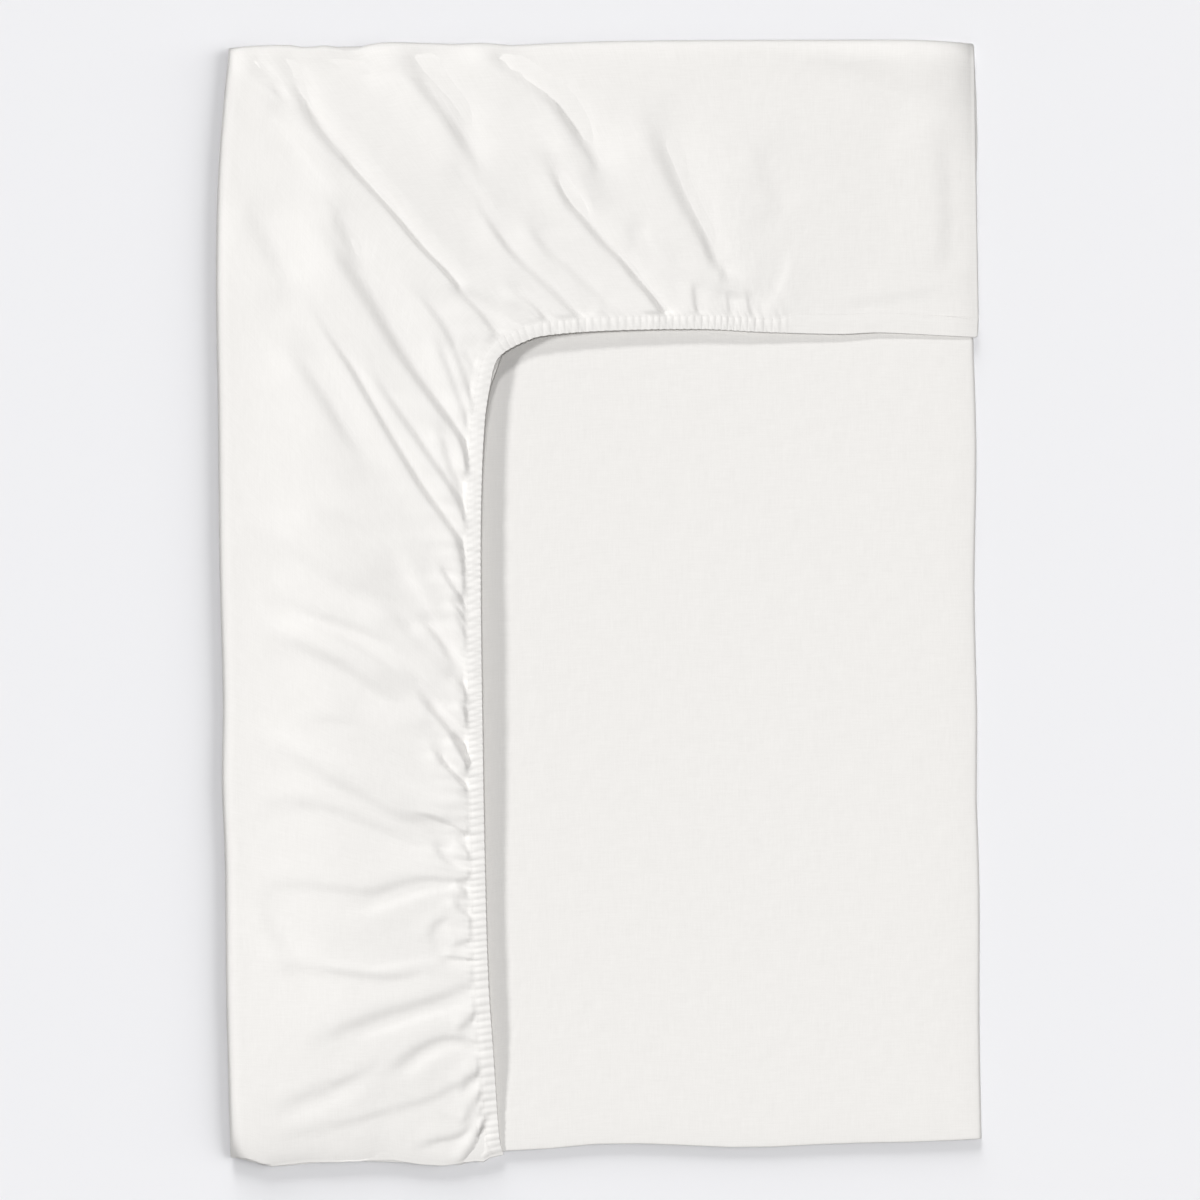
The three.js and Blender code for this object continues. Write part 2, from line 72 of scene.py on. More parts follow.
# A place in the photograph, in its pixels, gives a place on the cloth
PHOTO_PIXELS = 1200
PIXEL = 0.93
PHOTO_LEFT = 222
PHOTO_TOP = 41

# The stack: four panels, with four skirts turned back over them. The first quarter has the lowest panel and
# the skirt that shows. The layers lie one pitch apart, and the panels end a little inside the sides.
QUARTERS = 4
PITCH = 1.6
WALL_INSET = 6.1
RIGHT_INSET = 2.9
BOTTOM_INSET = 1.3

# Widths of the flat cut's zones from the turned-in edge of the hem to the middle of the sheet
TURNED_IN = 11.0
CASING_CUT = 15.5
SKIRT_CUT = 237.0
WALL_CUT = 14.0
FOLD_CUT = 5.0

# Base lines of the cut: on the skirt and the casing their distances from the stitch line, beside the middle
# fold their distances from it, and in the other zones the number of steps
SKIRT_LINES = (0, 6, 14, 28, 44, 64, 88, 114, 142, 172, 204, SKIRT_CUT)
CASING_LINES = (CASING_CUT, 14.2, 13.3, 12.5, 11, 8.8, 6.6, 4.4, 2.2)
FOLD_SIDE_LINES = (24, 12, 5, 2)
TURNED_STEPS = 1
WALL_STEPS = 6
FOLD_STEPS = 4
PANEL_COLUMNS = 16
PANEL_ROWS = 24

# The casing's line that stays a crisp edge, and how near to it an edge of the mesh counts as on it
CRISP_LINE = 12.5
ON_LINE = 0.1

# The longest edges that the visible side keeps, up to a distance from the stitch line: those along the hem,
# from the wall inwards, and those across it, from the hem outwards
Edges = namedtuple("Edges", "reach longest")
ALONG_HEM = (Edges(SKIRT_CUT + WALL_CUT, 12), Edges(SKIRT_CUT, 6), Edges(172, 3), Edges(14, 1.5))
ACROSS_HEM = (Edges(6, 2), Edges(44, 4.1), Edges(SKIRT_CUT, 8.5))

# A zone of the cut is taken this much wider or narrower, so that none of its lines lies on its border
SLACK = 1

# Distances on the flat cut that differ by less are the same, and places on a corner seam that lie nearer to
# each other than its gap are sewn together
TOLERANCE = 1e-3
SEAM_GAP = 0.02

At = namedtuple("At", "at value")

# How far each side stands out from a straight one, by the distance along it
LEFT_SIDE = (
    At(4, -5.6), At(46, -1), At(120, 4.6), At(213, 6.5), At(334, 4.6), At(473, 3.3), At(604, 0),
    At(678, 0.9), At(752, -1.9), At(864, -2.8), At(976, -5.6), At(1041, -7.4),
)
RIGHT_SIDE = (
    At(0, -2.8), At(83, 0.9), At(232, -3.7), At(380, 0), At(511, -1.9), At(641, 0.9), At(697, 0),
    At(790, 2.8), At(920, 2.8), At(1025, 4.7),
)
TOP_SIDE = (
    At(9, -5.6), At(17, -3.8), At(37, -2.8), At(59, -2.4), At(73, -4.7), At(91, -2.8), At(110, -5.6),
    At(119, -6.1), At(133, -1.9), At(147, 0), At(165, 0), At(193, -0.9), At(217, -1.4), At(240, -0.5),
    At(268, -2.8), At(282, -1.9), At(351, 0.9), At(444, 2), At(567, 2.4), At(651, 2.2), At(700, -0.9),
)
BOTTOM_SIDE = (
    At(6, 13), At(25, 16), At(40, 21), At(60, 19.5), At(85, 17), At(128, 17), At(151, 12.5), At(166, 17),
    At(203, 20.5), At(221, 18.5), At(229, 14), At(240, 18), At(249, 13), At(256, 8), At(262, 4),
    At(288, 6), At(316, 1.9), At(381, 0), At(484, 3.7), At(567, 0), At(651, -1.9), At(707, -4.7),
)

# The free hem, from its lower end round the inner corner to the right side
HemPoint = namedtuple("HemPoint", "across down")
HEM = (
    HemPoint(261.3, 1028), HemPoint(258, 1012), HemPoint(253, 948), HemPoint(247.8, 873),
    HemPoint(244.6, 762), HemPoint(242.7, 650), HemPoint(240.9, 511), HemPoint(241.3, 427),
    HemPoint(244.8, 352), HemPoint(250.6, 315), HemPoint(253.2, 303.5), HemPoint(256.6, 296),
    HemPoint(262, 290.5), HemPoint(269, 286), HemPoint(279, 281), HemPoint(296, 275),
    HemPoint(351, 270), HemPoint(444, 268), HemPoint(500, 270.5),
    HemPoint(575, 272.5), HemPoint(612, 271), HemPoint(677, 274), HemPoint(701, 275),
)

# The hem's point at the end of the corner seam
HEM_CORNER = 12

# Where the cloth from a place on the outer side meets the hem, both as shares of their lengths
DRAW = {
    "left": (
        At(0, 0), At(0.15, 0.22), At(0.3, 0.36), At(0.5, 0.51), At(0.7, 0.67), At(0.85, 0.81), At(1, 1),
    ),
    "top": (
        At(0, 0), At(0.1, 0.05), At(0.25, 0.17), At(0.37, 0.31), At(0.53, 0.45), At(0.73, 0.575),
        At(0.85, 0.76), At(1, 1),
    ),
}

# How high the visible skirt puffs above its lowest place, by the share of its outer side
PUFF = {
    "left": (
        At(0, 6.5), At(0.09, 8), At(0.28, 8.7), At(0.5, 8), At(0.72, 5.5), At(0.86, 5), At(0.92, 3),
        At(0.96, 1.2), At(1, 0),
    ),
    "top": (
        At(0, 6.5), At(0.1, 5), At(0.25, 4), At(0.37, 3), At(0.53, 2), At(0.73, 1.2), At(0.85, 0.8),
        At(1, 0),
    ),
}

# How the puff rises from the outer side to the hem: a steep part that ends halfway, and an even part
STEEP_PART = 0.8
STEEP_TO = 0.5
EVEN_PART = 0.2

# How much higher a skirt swells between its outer side and its hem, by the share of the outer side.
# Both sides start alike, so that no line shows along the corner seam.
SWELL = {
    "left": (At(0, 0.2), At(0.2, -0.3), At(0.45, 0.8), At(0.9, 2), At(1, 1)),
    "top": (At(0, 0.2), At(0.3, 0.2), At(0.6, 0), At(0.9, 0.3), At(1, 0)),
}

# How closely the skirts lie on each other near the hem, by the share of the outer side, and the share of
# the skirt from which they do
CLOSE = {
    "left": (At(0, 1), At(0.86, 1), At(0.92, 0.9), At(0.96, 0.6), At(1, 0.4)),
    "top": (At(0, 1), At(0.6, 1), At(0.73, 0.85), At(0.85, 0.55), At(0.93, 0.4), At(1, 0.35)),
}
CLOSE_FROM = 0.5

# The folds at the right and near sides are pressed: by how much where they are low and high, between which
# heights that changes, and how far in
PRESSED_LOW = 0.15
PRESSED_HIGH = 0.58
LOW_RISE = 2
HIGH_RISE = 14
PRESSED_RUN = 12.0

# The skirt rises quickly behind the far side: by how much, over what distance, and the share of the side
# over which that begins
FAR_RISE = 1.2
FAR_RUN = 9.0
FAR_START = 0.1

# Nearer than this to the corner seam, a wall bulges both ways
CORNER_RUN = 14

# From this share of its outer side, the left skirt comes down to the outline of the near side
NEAR_FROM = 0.88

# The share of the top side's hem at which the elastic ends and the plain hem starts
ELASTIC_ENDS_AT = 0.575
PLAIN_FROM = 0.63

# The share of the casing's height that a plain hem and a hidden one keep, and how far each hidden one lies
# behind the one over it
PLAIN_RISE = 0.4
HIDDEN_RISE = 0.4
HIDDEN_INSET = 1.5

# Section of the casing from its stitch line over the free edge to the edge that is turned in:
# distance on the cloth, distance inside the free edge as a share of the width, and height
CasingPoint = namedtuple("CasingPoint", "past inside rise")
CASING_SECTION = (
    CasingPoint(0, 1, 0),
    CasingPoint(2, 0.85, 0.2),
    CasingPoint(4, 0.69, 0.35),
    CasingPoint(7, 0.45, 0.35),
    CasingPoint(11, 0.14, 0.15),
    CasingPoint(12.5, 0.02, 0.05),
    CasingPoint(13.3, 0, -0.5),
    CasingPoint(14.2, 0.01, -1.2),
    CasingPoint(15.5, 0.03, -1.9),
    CasingPoint(19, 0.3, -2.2),
    CasingPoint(26.5, 0.9, -1.8),
)


def smoothstep(x, low, high):
    """Nought below low, one above high, and a smooth rise between."""
    share = np.clip((x - low) / (high - low), 0, 1)
    return share * share * (3 - 2 * share)


def lerp(start, end, share):
    return start + (end - start) * share


def reading(rows, at):
    """The value of a table on a smooth line through its rows."""
    ats = np.array([row[0] for row in rows], float)
    values = np.array([row[1] for row in rows], float)
    place = np.clip(at, ats[0], ats[-1])
    right = np.clip(np.searchsorted(ats, place), 1, len(rows) - 1)
    left = right - 1
    before = np.maximum(left - 1, 0)
    after = np.minimum(right + 1, len(rows) - 1)
    span = ats[right] - ats[left]
    t = (place - ats[left]) / span
    leave = span * (values[right] - values[before]) / (ats[right] - ats[before])
    arrive = span * (values[after] - values[left]) / (ats[after] - ats[left])
    t2 = t * t
    t3 = t2 * t
    held = (2 * t3 - 3 * t2 + 1) * values[left] + (3 * t2 - 2 * t3) * values[right]
    return held + (t3 - 2 * t2 + t) * leave + (t3 - t2) * arrive


# Smooth curves are worked out with this many points for each given one, and then divided into even steps
PATH_FINENESS = 16
HEM_STEP = 1.0
CREASE_STEP = 4.0


def smooth_path(points, step):
    """Even points on a smooth curve through a few, and the curve's length."""
    points = np.array(points, float)
    chords = np.hypot(*np.diff(points, axis=0).T)
    at = np.concatenate([[0], np.cumsum(chords)])
    fine = np.linspace(0, at[-1], PATH_FINENESS * len(points))
    curve = np.stack([reading(list(zip(at, points[:, i])), fine) for i in (0, 1)], axis=1)
    lengths = np.concatenate([[0], np.cumsum(np.hypot(*np.diff(curve, axis=0).T))])
    count = max(int(lengths[-1] / step), 2)
    even = np.linspace(0, lengths[-1], count + 1)
    path = np.stack([np.interp(even, lengths, curve[:, i]) for i in (0, 1)], axis=1)
    return path, lengths[-1]


Sizes = namedtuple("Sizes", "width length cloth casing plain_hem stitch thread")


def sizes_in_mm():
    """The sizes that are set in the scene, in millimetres."""
    group = bpy.context.scene.protector_sizes
    return Sizes(*(getattr(group, name) / MM for name in Sizes._fields))


def photo_place(x, y):
    """A place on the cloth, in mm across and down, from the photograph's pixels."""
    return (x - PHOTO_LEFT) * PIXEL, (y - PHOTO_TOP) * PIXEL


class HemLine:
    """The free hem as a curve, read by where the cloth meets it along the left or the top side."""

    def __init__(self):
        self.path, self.length = smooth_path(HEM, HEM_STEP)
        corner = np.array(HEM[HEM_CORNER], float)
        nearest = np.argmin(np.hypot(*(self.path - corner).T))
        self.corner = nearest / (len(self.path) - 1)
        runs = np.gradient(self.path, axis=0)
        self.tangent = runs / np.hypot(*runs.T)[:, None]
        self.shares = np.linspace(0, 1, len(self.path))

    def share(self, side, meets):
        """Where on the hem's whole length the cloth of a side meets it."""
        return self.corner * (1 - meets) if side == "left" else lerp(self.corner, 1, meets)

    def run(self, side, meets):
        """Distance along the hem from the corner seam, below nought on the left side."""
        return (self.share(side, meets) - self.corner) * self.length

    def place(self, side, meets, inside):
        """Across and down of the places that lie a distance inside the free edge."""
        share = np.clip(self.share(side, meets), 0, 1)
        place = [np.interp(share, self.shares, self.path[:, i]) for i in (0, 1)]
        tangent = [np.interp(share, self.shares, self.tangent[:, i]) for i in (0, 1)]
        return place[0] + tangent[1] * inside, place[1] - tangent[0] * inside


HEM_LINE = HemLine()


# Creases of the visible skirt, read from the photograph: how far the cloth falls across the line, away from
# the light (below nought it rises), half widths at the first and last place, the shares of the fall kept at
# both ends, and the path in the photograph's pixels
Crease = namedtuple("Crease", "fall half1 half2 keep1 keep2 path")
CREASES = (
    # Corner seam and the folds that leave the corner
    Crease(-4.5, 5, 7, 1, 0, ((228, 58), (248, 80), (262, 93), (279, 112), (340, 195))),
    Crease(6.4, 5.5, 5, 1, 0, ((236, 44), (247, 60), (262, 80), (278, 95), (290, 110))),
    Crease(
        4.3, 5, 2.5, 1, 1,
        (
            (275, 48), (286, 64), (298, 95), (316, 128), (345, 163), (391, 213), (420, 248), (440, 268),
            (455, 285),
        ),
    ),
    Crease(2, 5, 6, 0, 0.5, ((455, 280), (470, 293), (500, 308), (515, 320))),
    Crease(2.7, 4, 4, 0, 1, ((455, 290), (478, 312), (492, 330))),
    Crease(-2.2, 6, 6, 0.3, 0.3, ((300, 70), (320, 112), (358, 152), (398, 200), (455, 262))),
    Crease(5.8, 6, 6, 1, 0, ((402, 50), (422, 88), (448, 122), (472, 158), (484, 176))),
    Crease(3.2, 5, 7, 1, 0.2, ((415, 50), (430, 75), (452, 102), (475, 135))),
    Crease(-1.9, 5, 5, 0, 0, ((455, 160), (470, 180), (485, 198), (500, 215))),
    Crease(4, 4, 5, 0.2, 0.9, ((478, 205), (490, 225), (515, 258), (550, 290), (578, 318))),
    # Broad folds of the left skirt's upper half
    Crease(
        6, 12, 3, 0, 1,
        (
            (303, 200), (325, 235), (350, 272), (375, 312), (390, 338), (412, 372), (440, 410), (462, 442),
            (469, 470),
        ),
    ),
    Crease(3, 6, 6, 0, 0, ((330, 200), (345, 240), (360, 268))),
    Crease(3.8, 11, 11, 0, 0, ((240, 190), (255, 225), (272, 262), (300, 300))),
    Crease(
        5, 3.5, 4.5, 0.1, 1,
        (
            (310, 300), (330, 338), (348, 365), (380, 420), (415, 478), (430, 500), (445, 520), (460, 545),
            (467, 590),
        ),
    ),
    Crease(4.9, 6, 4, 0, 1, ((355, 350), (372, 375), (402, 418), (430, 458), (458, 500), (468, 525))),
    Crease(2.7, 4, 3, 0, 1, ((430, 330), (440, 350), (456, 392), (463, 410), (469, 432))),
    Crease(2.9, 3.5, 3, 0.2, 1, ((410, 285), (437, 318), (450, 340), (459, 362), (467, 385), (474, 408))),
    Crease(2.1, 3, 3, 0, 1, ((460, 345), (471, 365))),
    Crease(3.1, 4, 4, 0, 1, ((430, 425), (442, 440), (448, 460), (458, 485))),
    Crease(3.3, 4, 3, 0, 1, ((437, 560), (447, 578), (458, 595), (468, 612))),
    Crease(2.7, 3, 2.5, 0, 1, ((450, 600), (460, 612), (467, 622))),
    Crease(4.6, 8, 8, 0, 0.4, ((280, 340), (300, 365), (320, 395), (335, 420), (358, 455))),
    Crease(3.3, 11, 11, 0, 0.3, ((258, 520), (280, 540), (310, 560), (340, 580), (370, 595), (400, 605))),
    Crease(0.9, 4, 4, 0, 0, ((240, 560), (262, 578), (302, 604))),
    Crease(-2, 6, 6, 0, 0.4, ((310, 500), (350, 520), (400, 560), (430, 605))),
    # Middle of the left skirt
    Crease(-2.1, 5, 3.5, 0, 0.4, ((387, 535), (412, 578), (425, 600), (440, 622), (455, 645), (468, 675))),
    Crease(
        2.8, 9, 7, 0, 0.6,
        ((345, 590), (380, 603), (405, 628), (425, 650), (445, 670), (458, 685), (470, 702)),
    ),
    Crease(3.2, 4, 4, 0, 0.6, ((415, 618), (428, 628), (440, 642), (452, 662))),
    Crease(2, 3, 3, 0, 1, ((455, 612), (462, 626), (469, 640))),
    Crease(3, 6, 6, 0, 0.2, ((265, 590), (290, 603), (315, 615), (350, 625), (385, 640), (403, 652))),
    Crease(-2.9, 7, 6, 0, 0.3, ((262, 603), (300, 620), (345, 640), (385, 665), (408, 685))),
    Crease(4.3, 9, 8, 0, 0, ((262, 625), (300, 645), (345, 665), (380, 690), (415, 705))),
    Crease(-2.1, 4, 3, 0, 0.4, ((405, 665), (425, 683), (445, 706), (460, 722), (470, 735))),
    Crease(4.3, 5, 4, 0.2, 1, ((415, 683), (425, 700), (440, 720), (455, 738), (468, 762))),
    Crease(2.7, 3, 3, 0, 1, ((458, 675), (465, 690), (470, 702))),
    Crease(2.6, 3, 3, 0, 1, ((460, 700), (466, 712), (469, 722))),
    Crease(-1.9, 5, 4, 0, 0, ((428, 712), (445, 735), (458, 752))),
    Crease(-2.3, 9, 7, 0, 0.3, ((250, 705), (280, 728), (320, 750), (360, 765), (400, 785), (455, 800))),
    Crease(3.8, 9, 8, 0, 0.6, ((255, 725), (285, 748), (325, 775), (365, 795), (400, 815), (440, 822))),
    Crease(0.9, 5, 5, 0, 0, ((300, 720), (330, 718), (360, 726))),
    Crease(4.6, 3, 3, 0.2, 1, ((434, 745), (441, 760), (452, 772), (465, 786))),
    Crease(3.2, 2.5, 2.5, 0, 1, ((448, 735), (460, 748), (469, 765))),
    Crease(2, 2.5, 2, 0.2, 1, ((412, 812), (430, 815), (448, 822), (466, 832))),
    # Lower left
    Crease(2.4, 7, 7, 0, 0, ((245, 804), (290, 802), (330, 808), (375, 825), (420, 845), (440, 860))),
    Crease(2.5, 3.5, 2.5, 0.2, 1, ((431, 838), (440, 853), (452, 865), (469, 869))),
    Crease(2.7, 3, 3, 0, 1, ((455, 838), (466, 848), (472, 856))),
    Crease(1.5, 6, 6, 0, 0.2, ((250, 893), (275, 884), (320, 886), (360, 890), (395, 886))),
    Crease(1.4, 6, 3, 0, 0.6, ((350, 900), (380, 890), (405, 881), (430, 878), (460, 880))),
    Crease(-1.1, 5, 4, 0, 0.5, ((340, 913), (375, 909), (405, 899), (430, 891), (455, 888))),
    Crease(2, 5, 5, 0, 0.8, ((259, 897), (266, 918), (278, 938), (286, 955), (295, 968))),
    Crease(-1, 5, 4, 0, 0.4, ((310, 957), (340, 963), (375, 967), (410, 962), (440, 958))),
    Crease(1.8, 5, 5, 0.8, 0.2, ((290, 966), (320, 969), (355, 973), (390, 976), (430, 970))),
    Crease(1.9, 2.2, 2, 0, 1, ((440, 955), (455, 957), (475, 959))),
    Crease(1.4, 3.5, 3.5, 0, 0.4, ((452, 918), (440, 920), (432, 930), (433, 942))),
    Crease(2.8, 3, 3, 0, 1, ((452, 895), (460, 908), (472, 918))),
    Crease(2.6, 3, 3, 0, 1, ((458, 880), (466, 893))),
    Crease(1.4, 3.5, 3, 0, 1, ((450, 947), (462, 942), (474, 938))),
    Crease(
        2.1, 8, 6, 0, 0.7,
        ((300, 1055), (320, 1040), (345, 1027), (385, 1012), (425, 1001), (455, 990), (475, 982)),
    ),
    Crease(-1.2, 5, 4, 0, 0.6, ((350, 1040), (385, 1030), (420, 1018), (455, 1008))),
    Crease(2.3, 4, 4, 0, 1, ((455, 1030), (468, 1022), (478, 1010))),
    Crease(2, 5, 4, 0, 0.8, ((380, 1078), (400, 1062), (420, 1047), (442, 1038), (465, 1038), (480, 1042))),
    Crease(-1, 5, 5, 0, 0.4, ((400, 1082), (420, 1064), (440, 1052), (460, 1047))),
    Crease(1.6, 5, 4, 0, 0.3, ((265, 1110), (300, 1098), (335, 1084), (358, 1073), (372, 1064))),
    Crease(-1, 9, 8, 0, 0.2, ((280, 1122), (320, 1107), (355, 1092), (380, 1080))),
    Crease(1, 4, 3, 0, 1, ((250, 1143), (300, 1133), (360, 1119), (400, 1107), (435, 1096), (470, 1076))),
    Crease(2.3, 4, 4, 0, 1, ((458, 1092), (468, 1082), (482, 1068))),
    Crease(2.6, 4, 4, 0, 1, ((462, 1128), (472, 1108), (484, 1088))),
    Crease(2, 4, 3, 0, 1, ((408, 1152), (435, 1141), (458, 1136), (474, 1122), (486, 1100))),
    Crease(5.5, 3, 2.5, 1, 1, ((466, 1162), (478, 1138), (486, 1118))),
    # Left part of the top skirt
    Crease(
        8.3, 5.5, 6, 1, 0.5,
        ((476, 38), (500, 63), (520, 78), (540, 92), (555, 105), (578, 138), (592, 160)),
    ),
    Crease(
        5, 5, 3.5, 0, 1,
        (
            (540, 152), (552, 175), (564, 198), (580, 218), (603, 245), (620, 262), (635, 280), (648, 295),
            (662, 314),
        ),
    ),
    Crease(-3.2, 5, 5, 0, 0, ((540, 145), (560, 162), (578, 188), (596, 218))),
    Crease(3.2, 6, 5, 0, 0.6, ((520, 215), (545, 250), (570, 272), (603, 302))),
    Crease(2.4, 4, 3, 0, 1, ((500, 285), (525, 300), (540, 314), (550, 330))),
    Crease(0.8, 6, 6, 0, 0, ((625, 222), (636, 248))),
    Crease(-0.8, 6, 6, 0, 0, ((642, 215), (652, 245), (668, 268))),
    Crease(
        4.9, 13, 5, 0, 0.8,
        (
            (630, 105), (645, 125), (655, 142), (668, 172), (682, 202), (695, 225), (705, 245), (712, 262),
            (722, 272),
        ),
    ),
    # Puckers where the gathers end
    Crease(1.6, 3, 3, 0, 1, ((693, 280), (694, 300), (697, 316))),
    Crease(1.4, 2.5, 2.5, 0.3, 0.3, ((718, 290), (732, 295), (748, 297))),
    Crease(1, 2.5, 2.5, 0, 0.8, ((725, 292), (727, 298), (729, 316))),
    Crease(1, 2.5, 2.5, 0, 0.8, ((746, 290), (747, 298), (751, 316))),
    Crease(-0.8, 5, 5, 0, 0.4, ((788, 250), (785, 275), (775, 295), (763, 312))),
    Crease(1.4, 12, 10, 0, 0, ((751, 143), (765, 184), (783, 219))),
    # Smooth right part of the top skirt
    Crease(3.6, 15, 15, 0.6, 0, ((765, 46), (824, 58), (883, 70), (927, 96), (953, 120))),
    Crease(0.6, 5, 5, 0, 0, ((825, 306), (863, 302), (927, 292), (965, 294))),
    Crease(1.5, 10, 10, 0, 0, ((935, 110), (945, 200), (942, 290))),
    Crease(1.3, 5, 5, 0.6, 0.6, ((240, 48), (300, 49), (400, 50), (500, 51))),
    Crease(3.4, 6, 6, 1, 0, ((318, 44), (322, 62))),
    Crease(4.6, 7, 6, 1, 0, ((340, 44), (388, 72))),
)

# The flanks of a crease come back to the cloth over this many of its half widths, and each of its ends
# takes up this share of its path
FLANK = 2.0
CREASE_END = 0.3

# No place counts as nearer to a crease's line than this many half widths
ON_CREASE = 1e-6

# Creases are full from this share of the skirt on, and at the stitch line only this share of them is left,
# which grows over a short distance
CREASED_FROM = 0.03
CREASED_AT_STITCH = 0.35
CREASED_RUN = 5

# Lights: which way they go across and down the floor, their height in degrees, their share of the light on
# a flat place, the angle that they fill, and what they light
Light = namedtuple("Light", "name travel height share angle lights")
LIGHTS = (
    Light("left", (1, 0), 33, 0.33, 9, "cloth"),
    Light("far", (0, 1), 33, 0.235, 8, "cloth"),
    Light("top", (0, 1), 89, 0.327, 7, "cloth"),
    Light("floor_right", (-1, 0.1), 25, 0.38, 46, "floor"),
    Light("floor_far", (0.1, 1), 12, 0.28, 24, "floor"),
    Light("floor_near", (0, -1), 30, 0.08, 50, "floor"),
    Light("floor_top", (0, 1), 89, 0.17, 60, "floor"),
)
WORLD_LIGHT = 0.13

# Two flags stand before the far and the left side and keep the low lights off them: how far away, how tall,
# and which light each one stops
Flag = namedtuple("Flag", "side gap height stops")
FLAGS = (Flag("left", 25, 30, "left"), Flag("top", 45, 41, "far"))

# Which way most of the light goes, across and down the cloth: the creases fall along it
LIGHT_TRAVEL = (0.81, 0.586)


def beside_path(places, path, length):
    """The share of a path that is nearest to each place, how far off it is, and how far down the light."""
    start = path[:-1]
    step = np.diff(path, axis=0)
    long = np.hypot(*step.T)
    along = step / long[:, None]
    normal = np.stack([-along[:, 1], along[:, 0]], axis=1)
    if (normal.mean(axis=0) * LIGHT_TRAVEL).sum() < 0:
        normal = -normal
    off = places[:, None, :] - start[None]
    run = np.clip((off * along).sum(axis=2), 0, long)
    rest = off - run[..., None] * along
    far = np.hypot(rest[..., 0], rest[..., 1])
    best = far.argmin(axis=1)
    rows = np.arange(len(places))
    share = (best * long[0] + run[rows, best]) / length
    return share, far[rows, best], (rest[rows, best] * normal[best]).sum(axis=1)


def crease_heights(across, down):
    """Height of all creases at places on the visible skirt."""
    height = np.zeros_like(across)
    for crease in CREASES:
        path, length = smooth_path([photo_place(*point) for point in crease.path], CREASE_STEP)
        reach = (1 + 3 * FLANK) * max(crease.half1, crease.half2)
        near = (across > path[:, 0].min() - reach) & (across < path[:, 0].max() + reach)
        near &= (down > path[:, 1].min() - reach) & (down < path[:, 1].max() + reach)
        found = np.flatnonzero(near)
        if not len(found):
            continue
        places = np.stack([across[found], down[found]], axis=1)
        share, far, behind = beside_path(places, path, length)
        half = lerp(crease.half1, crease.half2, share)
        apart = np.maximum(far / half, ON_CREASE)
        core = apart * np.exp(0.5 * (1 - apart ** 2))
        flank = np.exp(-0.5 * ((apart - 1) / FLANK) ** 2)
        side = behind / half / apart
        starts = lerp(crease.keep1, 1, smoothstep(share, 0, CREASE_END))
        ends = lerp(1, crease.keep2, smoothstep(share, 1 - CREASE_END, 1))
        height[found] -= 0.5 * crease.fall * (starts * ends) * (side * np.where(apart < 1, core, flank))
    return height


# Gathers beside the casing: pitch along the hem, height, how far they run into the skirt, and a turn of
# their own that sets where their waves start
Gather = namedtuple("Gather", "pitch height run turn")
GATHERS = (
    Gather(13, 1.0, 22, 1.3),
    Gather(25, 0.8, 38, 2.1),
    Gather(47, 0.6, 70, 0.4),
)

# How broad the tops of the gathers are (the smaller, the broader) and the height that counts as nought
GATHER_POWER = 1.4
GATHER_MIDDLE = 0.5

# At the stitch line only this share of the gathers is left, which grows over a short distance
GATHERED_AT_STITCH = 0.3
GATHERED_RUN = 7

# Slow waves along the hem: their size, how many pitches of the gathers they take, and how many times the
# gathers' own turn they start at. Two make the pitch wander, and one the strength.
Wander = namedtuple("Wander", "size pitches turns")
PITCH_WANDERS = (Wander(0.35, 4.3, 1), Wander(0.2, 1.7, 2.2))
STRENGTH_WANDER = Wander(0.4, 3.1, 5)
MEAN_STRENGTH = 0.6

# Ribs of the casing: pitch along the hem, height, how far they run into the skirt, how broad their tops
# are, and the height that counts as nought
RIB_PITCH = 6.6
RIB_HEIGHT = 0.45
RIB_RUN = 11.0
RIB_POWER = 0.6
RIB_MIDDLE = 0.6

# Where the ribs start and end on the casing, by distances past the stitch line, and by how much and between
# which distances they make its free edge waver
RIBS_FROM = 2.5
RIBS_TO = (14, 20)
RIB_WAVER = 0.5
WAVER_RUN = (7, 12)

# How far the gathers lean, in mm along the hem for each mm away from it, by the distance along the hem: on
# the skirt, and on the casing, between which they turn over a short distance
LEAN = (
    At(-780, -0.8), At(-620, -0.5), At(-480, 0.2), At(-300, 1.0), At(-60, 1.3), At(60, 0.9), At(460, 0.9),
)
RIB_LEAN = (At(-780, -0.1), At(-500, -0.2), At(-60, -0.5), At(60, -0.33), At(460, -0.3))
LEAN_RUN = 15


def wandering(wander, run, pitch, turn):
    return wander.size * np.sin(run / (wander.pitches * pitch) + wander.turns * turn)


def ridges(run, pitch, turn, power, middle):
    """Ridges of a height of one along the hem, whose pitch wanders a little."""
    slow, quick = (wandering(wander, run, pitch, turn) for wander in PITCH_WANDERS)
    turns = run / pitch + (slow + quick) + turn
    return np.abs(np.cos(math.pi * turns)) ** power - middle


def rib_heights(run):
    """Round ribs with narrow grooves between them."""
    return ridges(run, RIB_PITCH, 0.0, RIB_POWER, RIB_MIDDLE)


def gather_heights(run, back):
    """Height of the gathers and of the ribs' ends at a distance back from the stitch line."""
    lean = -reading(RIB_LEAN, run)
    leaning = run + lean * back + (reading(LEAN, run) - lean) * back * back / (back + LEAN_RUN)
    height = RIB_HEIGHT * rib_heights(leaning) * np.exp(-((back / RIB_RUN) ** 2))
    damped = lerp(GATHERED_AT_STITCH, 1, smoothstep(back, 0, GATHERED_RUN))
    for gather in GATHERS:
        wave = ridges(leaning, gather.pitch, gather.turn, GATHER_POWER, GATHER_MIDDLE)
        strength = MEAN_STRENGTH + wandering(STRENGTH_WANDER, leaning, gather.pitch, gather.turn)
        height += gather.height * strength * wave * damped * np.exp(-back / gather.run)
    return height


